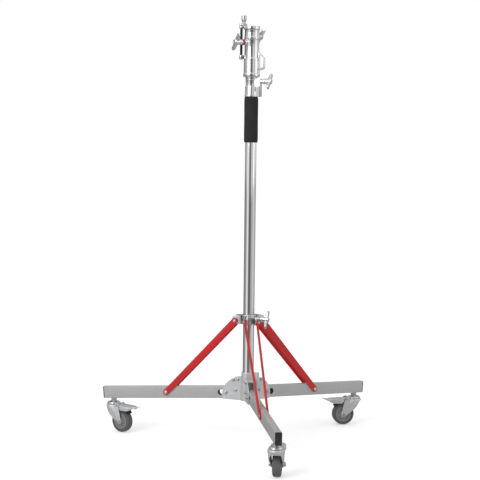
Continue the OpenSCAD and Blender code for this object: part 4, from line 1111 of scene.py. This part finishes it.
def fork_shell(place):
    """One bent sheet from rear edge to rear edge round the front. For s from -1 to 1, the upper line
    follows the dome's rim and then runs to the rear corner, the lower line follows the axle boss, and
    each upright runs between them over a share f(s) of its length: short at the front, whole at the
    sides. Its Y blends from the rim's to the flat side's by w^2 (3 - 2w), w = v / 0.4, and then draws
    in to the axle boss by v^3. The front edge of each side swells forwards by nose * sin(pi v)."""
    top_z, rim_sweep, rim_end = 82.6, 124, 0.80
    rear_x, rear_y, rear_z = 34.0, 18.8, 84.0
    boss_r, boss_from, boss_sweep, boss_start = 9.5, 205, 140, 0.34
    out_y, flat_y, nose, nose_at, nose_wide = FORK_IN + FORK_T, 22.0, 8.0, 0.33, 0.13
    s = np.linspace(-1, 1, 97)[:, None]
    side, m = np.sign(s), np.abs(s)
    turn = np.radians(180 - ramp(m, 0, rim_end) * rim_sweep)
    rear = ramp(m, rim_end, 1)
    upper_x = FORK_R * np.cos(turn) * (1 - rear) + rear_x * rear
    upper_y = FORK_R * np.sin(turn) * (1 - rear) + rear_y * rear
    upper_z = top_z + (rear_z - top_z) * rear
    beta = np.radians(boss_from + boss_sweep * ramp(m, boss_start, 1))
    low_x, low_z = TRAIL + boss_r * np.cos(beta), AXLE_Z + boss_r * np.sin(beta)
    share = 0.22 + 0.78 * ramp(m, 0.20, 0.44) ** 1.15
    v = np.linspace(0, 1, 26)[None, :] * share
    w = ramp(v, 0, 0.40)
    w = w * w * (3 - 2 * w)
    open_y = ramp(m, 0, boss_start) ** 0.8
    high_y = upper_y * np.abs(side) * (1 - w) + open_y * (flat_y - (flat_y - rear_y) * rear) * w
    y = side * (open_y * out_y * v ** 3 + high_y * (1 - v ** 3))
    forwards = nose * np.sin(np.pi * v) * np.exp(-((m - nose_at) / nose_wide) ** 2)
    x = upper_x * (1 - v) + low_x * v - forwards
    z = upper_z * (1 - v) + low_z * v
    return at(place, surface(np.stack([x, y, z], axis=-1)))


def fork(name):
    """The bent sheet, and the crown: a ring with a domed shoulder, two ears for the pedal's pin and a
    dish on each side of the axle. Then the axle's bolt."""
    place = caster_place(name)
    sheet = piece(f"fork_{name}_sides", f"fork_{name}", "zinc_plate", fork_shell(place),
                  solid=FORK_T, bevel=0.5)
    face_towards(sheet, -place.r[:, 0])
    t = np.linspace(0, np.pi / 2, 8)
    shoulder = np.stack([20.2 + 4.9 * np.cos(t), ROOF - 2.6 + 5.1 * np.sin(t)], axis=1)
    dome = np.vstack([[(6.1, ROOF), (19.5, ROOF), (22.4, ROOF - 3.2), (24.9, ROOF - 3.2)], shoulder,
                      [(6.1, ROOF + 2.5)]])
    shapes = [lathe(place, dome, 80)]
    lug_x, lug_z = 28.0, 85.5
    ear = np.vstack([circle(6.5, (lug_x + 0.5, lug_z), 16, -60, 80),
                     circle(7.5, (lug_x - 3, lug_z + 0.6), 16, 85, 175),
                     [[lug_x - 11, 80], [lug_x - 2, 75], [lug_x + 5, 75]]])
    ear_y = FORK_IN + FORK_T / 2
    shapes += [slab(place.on_edge(y), ear, FORK_T - 0.1, 0.5) for y in (ear_y, -ear_y)]
    axle = place.moved(x=TRAIL, z=AXLE_Z).lying()
    inner_y, seat_y = FORK_IN + 0.2, 19.5
    dish = [(0, inner_y), (8.6, inner_y), (8.8, seat_y - 1.2), (7.9, seat_y), (0, seat_y)]
    shapes += [lathe(way, dish, 48, 0.4, False) for way in (axle.flipped(), axle)]
    piece(f"fork_{name}_crown", f"fork_{name}", "zinc_plate", join(*shapes), [f"caster_fork_{name}"])
    face, nut_w, nut_h = 19.55, 12.4, 4.4
    bolt = join(rod(axle, 5.0, 0.2 - FORK_IN, FORK_IN - 0.2), rod(axle, 4.0, -face - 5.5, face + 1),
                nut(axle, nut_w, nut_h, face), nut(axle.flipped(), nut_w, nut_h, face))
    piece(f"axle_{name}_bolt", f"fork_{name}", "zinc_fastener", bolt, [f"axle_{name}"])


def stem(name):
    """Race, nut and threaded stem, on the leg's side of the swivel."""
    place = caster_place(name)
    race, r = 87.8, 20.5
    seat = race + 9.5
    under = seat + 9.2
    profile = [(0, race), (r + 0.6, race), (r + 1.2, race + 1.2), (r + 1.2, race + 2.6), (r, race + 3.6),
               (r - 0.2, race + 5.4), (r - 1.8, race + 6.8), (r - 5.5, race + 7.6), (r - 9, race + 8.2),
               (r - 10.2, seat), (0, seat)]
    screw = np.vstack([[[0, under - 2]], thread(6.0, 0.5, 1.5, 14) + [0, under - 2], [[0, under + 12]]])
    low = [(0, ROOF - 4), (8.4, ROOF - 4), (9, ROOF - 3.4), (9, ROOF - 0.3), (5.9, ROOF - 0.3), (5.9, race),
           (0, race)]
    shape = join(lathe(place, profile, 80, 0.8, False), nut(place, 16.5, 9.6, seat - 0.3),
                 lathe(place, screw, 40, closed=False), lathe(place, low, 48, 0.3, False))
    piece(f"stem_{name}", f"leg_{name}", "zinc_fastener", shape, [f"caster_stem_{name}"], sharp=40)


def pedal_place(name):
    """Origin on the pedal's pin, X along the plate, which drops a little towards its tip."""
    drop = 2.5
    return Place(joint_at(f"pedal_{name}_press"), caster_place(name).r[:, 0], UP).tipped(drop)


def pedal_plate(place):
    """A dished plate with its sides turned down. Along it, x, the half width w(x) opens from the
    barrel, stays level and closes to a round tongue; across it, the section runs up one side, round
    a corner and over a crown to the other side. Three low ribs cross the crown, and the tip turns up
    by 0.012 (x - 60)^2."""
    lift, length, wide = 3.0, 79.0, 22.0
    key_x = np.array([-1.0, 3.0, 6.8, 9.0, 16.0, 42.0, 50.0, 56.0, 61.0, 69.0, 77.0, length])
    key_w = np.array([10.0, 12.0, 13.2, 19.0, wide, wide, 20.5, 16.0, 11.0, 8.0, 6.0, 3.2])
    key_d = np.array([1.5, 1.6, 2.0, 8.0, 14.5, 13.5, 11.5, 8.5, 5.5, 3.0, 2.2, 2.0])
    x = np.unique(np.concatenate([np.linspace(-1, length, 70), key_x]))
    w = np.convolve(np.pad(np.interp(x, key_x, key_w), 1, mode="edge"), np.ones(3) / 3, mode="valid")
    x, w, d = x[:, None], w[:, None], np.interp(x, key_x, key_d)[:, None]
    corner = np.minimum(3.5, np.minimum(w * 0.5, d))
    q, up = np.linspace(0, np.pi / 2, 6), np.array([0.0, 0.5])
    wall = np.stack([np.repeat(w, 2, axis=1), -(d * (1 - up) + corner * up)], axis=-1)
    bend = np.stack([w - corner * (1 - np.cos(q)), -corner * (1 - np.sin(q))], axis=-1)
    half = np.concatenate([wall, bend], axis=1)
    mid = np.linspace(-0.86, 0.86, 9)[None, :] * (w - corner)
    flat = np.stack([mid, np.zeros_like(mid)], axis=-1)
    y, down = np.moveaxis(np.concatenate([half * [-1, 1], flat, half[:, ::-1]], axis=1), -1, 0)
    crown = 1.1 * (1 - (y / wide) ** 2)
    ribs = sum(np.exp(-((x - at_x) / 1.1) ** 2) for at_x in (26.0, 33.0, 40.0))
    rib = 0.8 * ribs * (np.abs(y) < 13) * (down > -0.2)
    lip = 0.012 * np.clip(x - 60, 0, None) ** 2
    grid = np.stack(np.broadcast_arrays(x, y, lift + down + crown + rib + lip), axis=-1)
    return at(place, surface(grid))


def pedal(name):
    """Plate, barrel with its pin, and shoe."""
    place = pedal_place(name)
    plate = piece(f"pedal_{name}_plate", f"pedal_{name}", "zinc_plate", pedal_plate(place),
                  solid=1.8, bevel=0.4)
    face_towards(plate, UP)
    barrel, out = place.lying(), FORK_IN + FORK_T
    shape = join(rod(barrel, 4.2, 0.3 - FORK_IN, FORK_IN - 0.3), rod(barrel, 2.5, -out - 0.5, out + 0.5),
                 rod(barrel, 4.4, out + 0.1, out + 1.5, 0.6), rod(barrel, 4.4, -out - 1.5, -out - 0.1, 0.6))
    piece(f"pedal_{name}_barrel", f"pedal_{name}", "zinc_fastener", shape, [f"brake_pedal_{name}"])
    shoe(name, place)


def shoe(name, place):
    """Rubber block under the plate, and the tongue that follows the tyre: an arc about the axle whose
    thickness grows from 0.45 to 1 of thick over its first 14 degrees."""
    gap, thick, low, high, count = 4.5, 3.5, 40, 84, 24
    grown = thick * (0.45 + 0.55 * ramp(np.linspace(low, high, count), low, low + 14))
    inner = circle(WHEEL_R + gap, count=count, start=low, end=high)
    outer = inner * (1 + grown / (WHEEL_R + gap))[:, None]
    about_axle = caster_place(name).moved(x=TRAIL, z=AXLE_Z).on_edge()
    tongue = slab(about_axle, np.vstack([inner, outer[::-1]]), 22.0, 0.5)
    block = slab(place, rounded([(12, -8), (24, -8), (24, 8), (12, 8)], 2, 3), 7.0, 0.6, z=-5.05)
    piece(f"shoe_{name}", f"pedal_{name}", "black_rubber", join(tongue, block), [f"brake_shoe_{name}"])


# Carried-over pieces keep their shape and get a finish

def dress_cad():
    """Gives every CAD node the material of its slot."""
    slots = {part["node"]: part["material_slot"] for part in frame["record"]["subparts"]}
    for node, thing in frame["nodes"].items():
        thing.data.materials.clear()
        thing.data.materials.append(MATERIALS[slots[node]])


# Room, light and camera

# Brightness of the even light from all round
AMBIENT = 0.62


def room():
    """A pale floor under the stand. It shows the stand's shadow, and for the camera it glows up to the
    white behind it, a little more with distance, so that no horizon shows."""
    floor_z, half = -0.0005, 14.0
    corners = [(x * half, y * half, floor_z) for x, y in ((-1, -1), (1, -1), (1, 1), (-1, 1))]
    mesh = bpy.data.meshes.new("floor")
    mesh.from_pydata(corners, [], [(0, 1, 2, 3)])
    net = Finish("pale_floor", (0.93, 0.93, 0.93), 0.0, 0.1)
    net.shader.inputs["Roughness"].default_value = 0.8
    far = net.node("VectorMath", operation="LENGTH")
    net.feed(net.node("TexCoord").outputs["Object"], far.inputs[0])
    glow, add, seen = net.node("Emission"), net.node("AddShader"), net.node("MixShader")
    net.feed(net.spread(far.outputs["Value"], 0.9, 3.0, 0.37, 0.46), glow.inputs["Strength"])
    end = net.tree.nodes["Material Output"]
    for source, target in ((net.shader, add.inputs[0]), (glow, add.inputs[1]), (net.shader, seen.inputs[1]),
                           (add, seen.inputs[2]), (seen, end.inputs["Surface"])):
        net.feed(source.outputs[0], target)
    net.feed(net.node("LightPath").outputs["Is Camera Ray"], seen.inputs[0])
    mesh.materials.append(net.made)
    floor = in_scene("floor", mesh)
    floor.visible_glossy = False


# Brightness of the walls that reflections see, from behind the stand (0) round to behind it again (1)
COLUMN_WALLS = [
    (0.0, 0.24), (0.20, 0.27), (0.28, 0.34), (0.315, 0.60), (0.345, 0.95), (0.385, 0.95), (0.425, 0.48),
    (0.455, 0.18), (0.50, 0.10), (0.535, 0.17), (0.564, 0.36), (0.63, 0.52), (0.70, 0.62), (0.735, 0.80),
    (0.77, 0.60), (0.80, 0.42), (0.90, 0.40), (1.0, 0.30)]
HEAD_WALLS = [
    (0.0, 0.28), (0.10, 0.34), (0.20, 0.44), (0.27, 0.56), (0.31, 0.90), (0.36, 0.98), (0.385, 0.90),
    (0.41, 0.62), (0.44, 0.36), (0.46, 0.20), (0.50, 0.16), (0.53, 0.24), (0.55, 0.78), (0.575, 0.85),
    (0.60, 0.62), (0.64, 0.58), (0.67, 0.88), (0.71, 0.90), (0.73, 0.60), (0.76, 0.60), (0.79, 0.95),
    (0.84, 0.75), (0.90, 0.45), (1.0, 0.28)]


def wall_ramp(net, turned, stops):
    """Brightness by azimuth, through stops of (position, brightness)."""
    made = net.node("ValToRGB")
    elements = made.color_ramp.elements
    while len(elements) < len(stops):
        elements.new(0.5)
    for element, (position, bright) in zip(elements, stops):
        element.position = position
        element.color = (bright, bright, bright, 1)
    net.feed(turned, made.inputs["Fac"])
    return made.outputs["Color"]


def world(camera_azimuth):
    """White for the camera. Reflections see a room whose walls are lit by azimuth, once for rays that
    run down and once for rays that run level or up; everything else gets even soft light."""
    made = bpy.data.worlds.new("studio")
    bpy.context.scene.world = made
    made.use_nodes = True
    made.node_tree.nodes.clear()
    net = Net(made.node_tree)
    way = net.xyz(net.node("TexCoord").outputs["Generated"])
    from_behind = net.math("SUBTRACT", net.math("ARCTAN2", way["Y"], way["X"]), camera_azimuth - np.pi)
    turned = net.math("FRACT", net.math("DIVIDE", from_behind, 2 * np.pi))
    level_or_up = net.spread(way["Z"], 0.004, 0.024)
    lit = net.mix(level_or_up, wall_ramp(net, turned, COLUMN_WALLS), wall_ramp(net, turned, HEAD_WALLS))
    lit = net.mix(net.spread(way["Z"], 0.12, 0.75), lit, (0.92, 0.92, 0.92))
    lit = net.mix(net.spread(way["Z"], -0.3, -0.9), lit, (0.45, 0.45, 0.45))
    ray = net.node("LightPath").outputs
    colour = net.mix(ray["Is Glossy Ray"], (AMBIENT, AMBIENT, AMBIENT), lit)
    colour = net.mix(ray["Is Camera Ray"], colour, (1, 1, 1))
    back = net.node("Background")
    net.feed(colour, back.inputs["Color"])
    net.feed(back.outputs[0], net.node("OutputWorld").inputs["Surface"])


def lamp(name, place, target, size, power):
    """A rectangular soft light that looks at a target."""
    data = bpy.data.lights.new(name, "AREA")
    data.shape = "RECTANGLE"
    data.size, data.size_y = size
    data.energy = power
    thing = in_scene(name, data)
    thing.location = place
    thing.rotation_euler = (Vector(target) - Vector(place)).to_track_quat("-Z", "Y").to_euler()


def camera():
    """The photograph's view: distance and height of a solved camera, its pitch, roll and swing, and the
    turn of the whole view about the column. Gives back the camera's azimuth in radians."""
    distance, height = 4.21975, 0.97409
    pitch, roll, swing, turn = 0.0799, 0.011, -0.0071, 0.176
    focal_px, frame_px, sensor = 1367.28, 480, 36.0
    ahead = np.array([np.sin(swing) * np.cos(pitch), np.cos(swing) * np.cos(pitch), -np.sin(pitch)])
    right = np.array([np.cos(swing), -np.sin(swing), 0.0])
    up = np.cross(right, ahead)
    right, up = right * np.cos(roll) + up * np.sin(roll), up * np.cos(roll) - right * np.sin(roll)
    back = np.array([[np.cos(turn), np.sin(turn), 0], [-np.sin(turn), np.cos(turn), 0], [0, 0, 1.0]])
    out = back @ np.array([0, -distance, height])
    place = out + np.array([*AXIS, 0]) * MM
    axes = [back @ v for v in (right, up, -ahead)]
    data = bpy.data.cameras.new("camera")
    data.sensor_width = sensor
    data.lens = focal_px / frame_px * sensor
    data.clip_end = 60
    thing = in_scene("camera", data)
    thing.matrix_world = Matrix([[*(a[i] for a in axes), place[i]] for i in range(3)] + [[0, 0, 0, 1]])
    bpy.context.scene.camera = thing
    return np.arctan2(out[1], out[0])


def build():
    """All pieces, and for each handle how far its wings are turned and how deep its screw goes."""
    dress_cad()
    column()
    grip()
    riser_clamp()
    collar()
    tee("collar_tee", -31, 16.5, "cast_satin")
    tee("riser_tee", -41, 18.5)
    tee("socket_tee_front", -36, 17.9)
    tee("socket_tee_back", 30, 13.9)
    head_body()
    head_parts()
    hub()
    for name in LEGS:
        leg(name)
        brace(name)
        stem(name)
        fork(name)
        wheel(name)
        pedal(name)


def light():
    """Floor, surroundings, camera and two lamps, and plain colours in the picture."""
    room()
    world(camera())
    lamp("key", (-2.6, -2.2, 2.6), (0, 0.1, 0.7), (2.2, 2.6), 60)
    lamp("fill", (2.8, -1.6, 2.0), (0, 0.1, 0.6), (1.8, 2.4), 7)
    bpy.context.scene.view_settings.view_transform = "Standard"


build()
light()
bpy.context.view_layer.update()
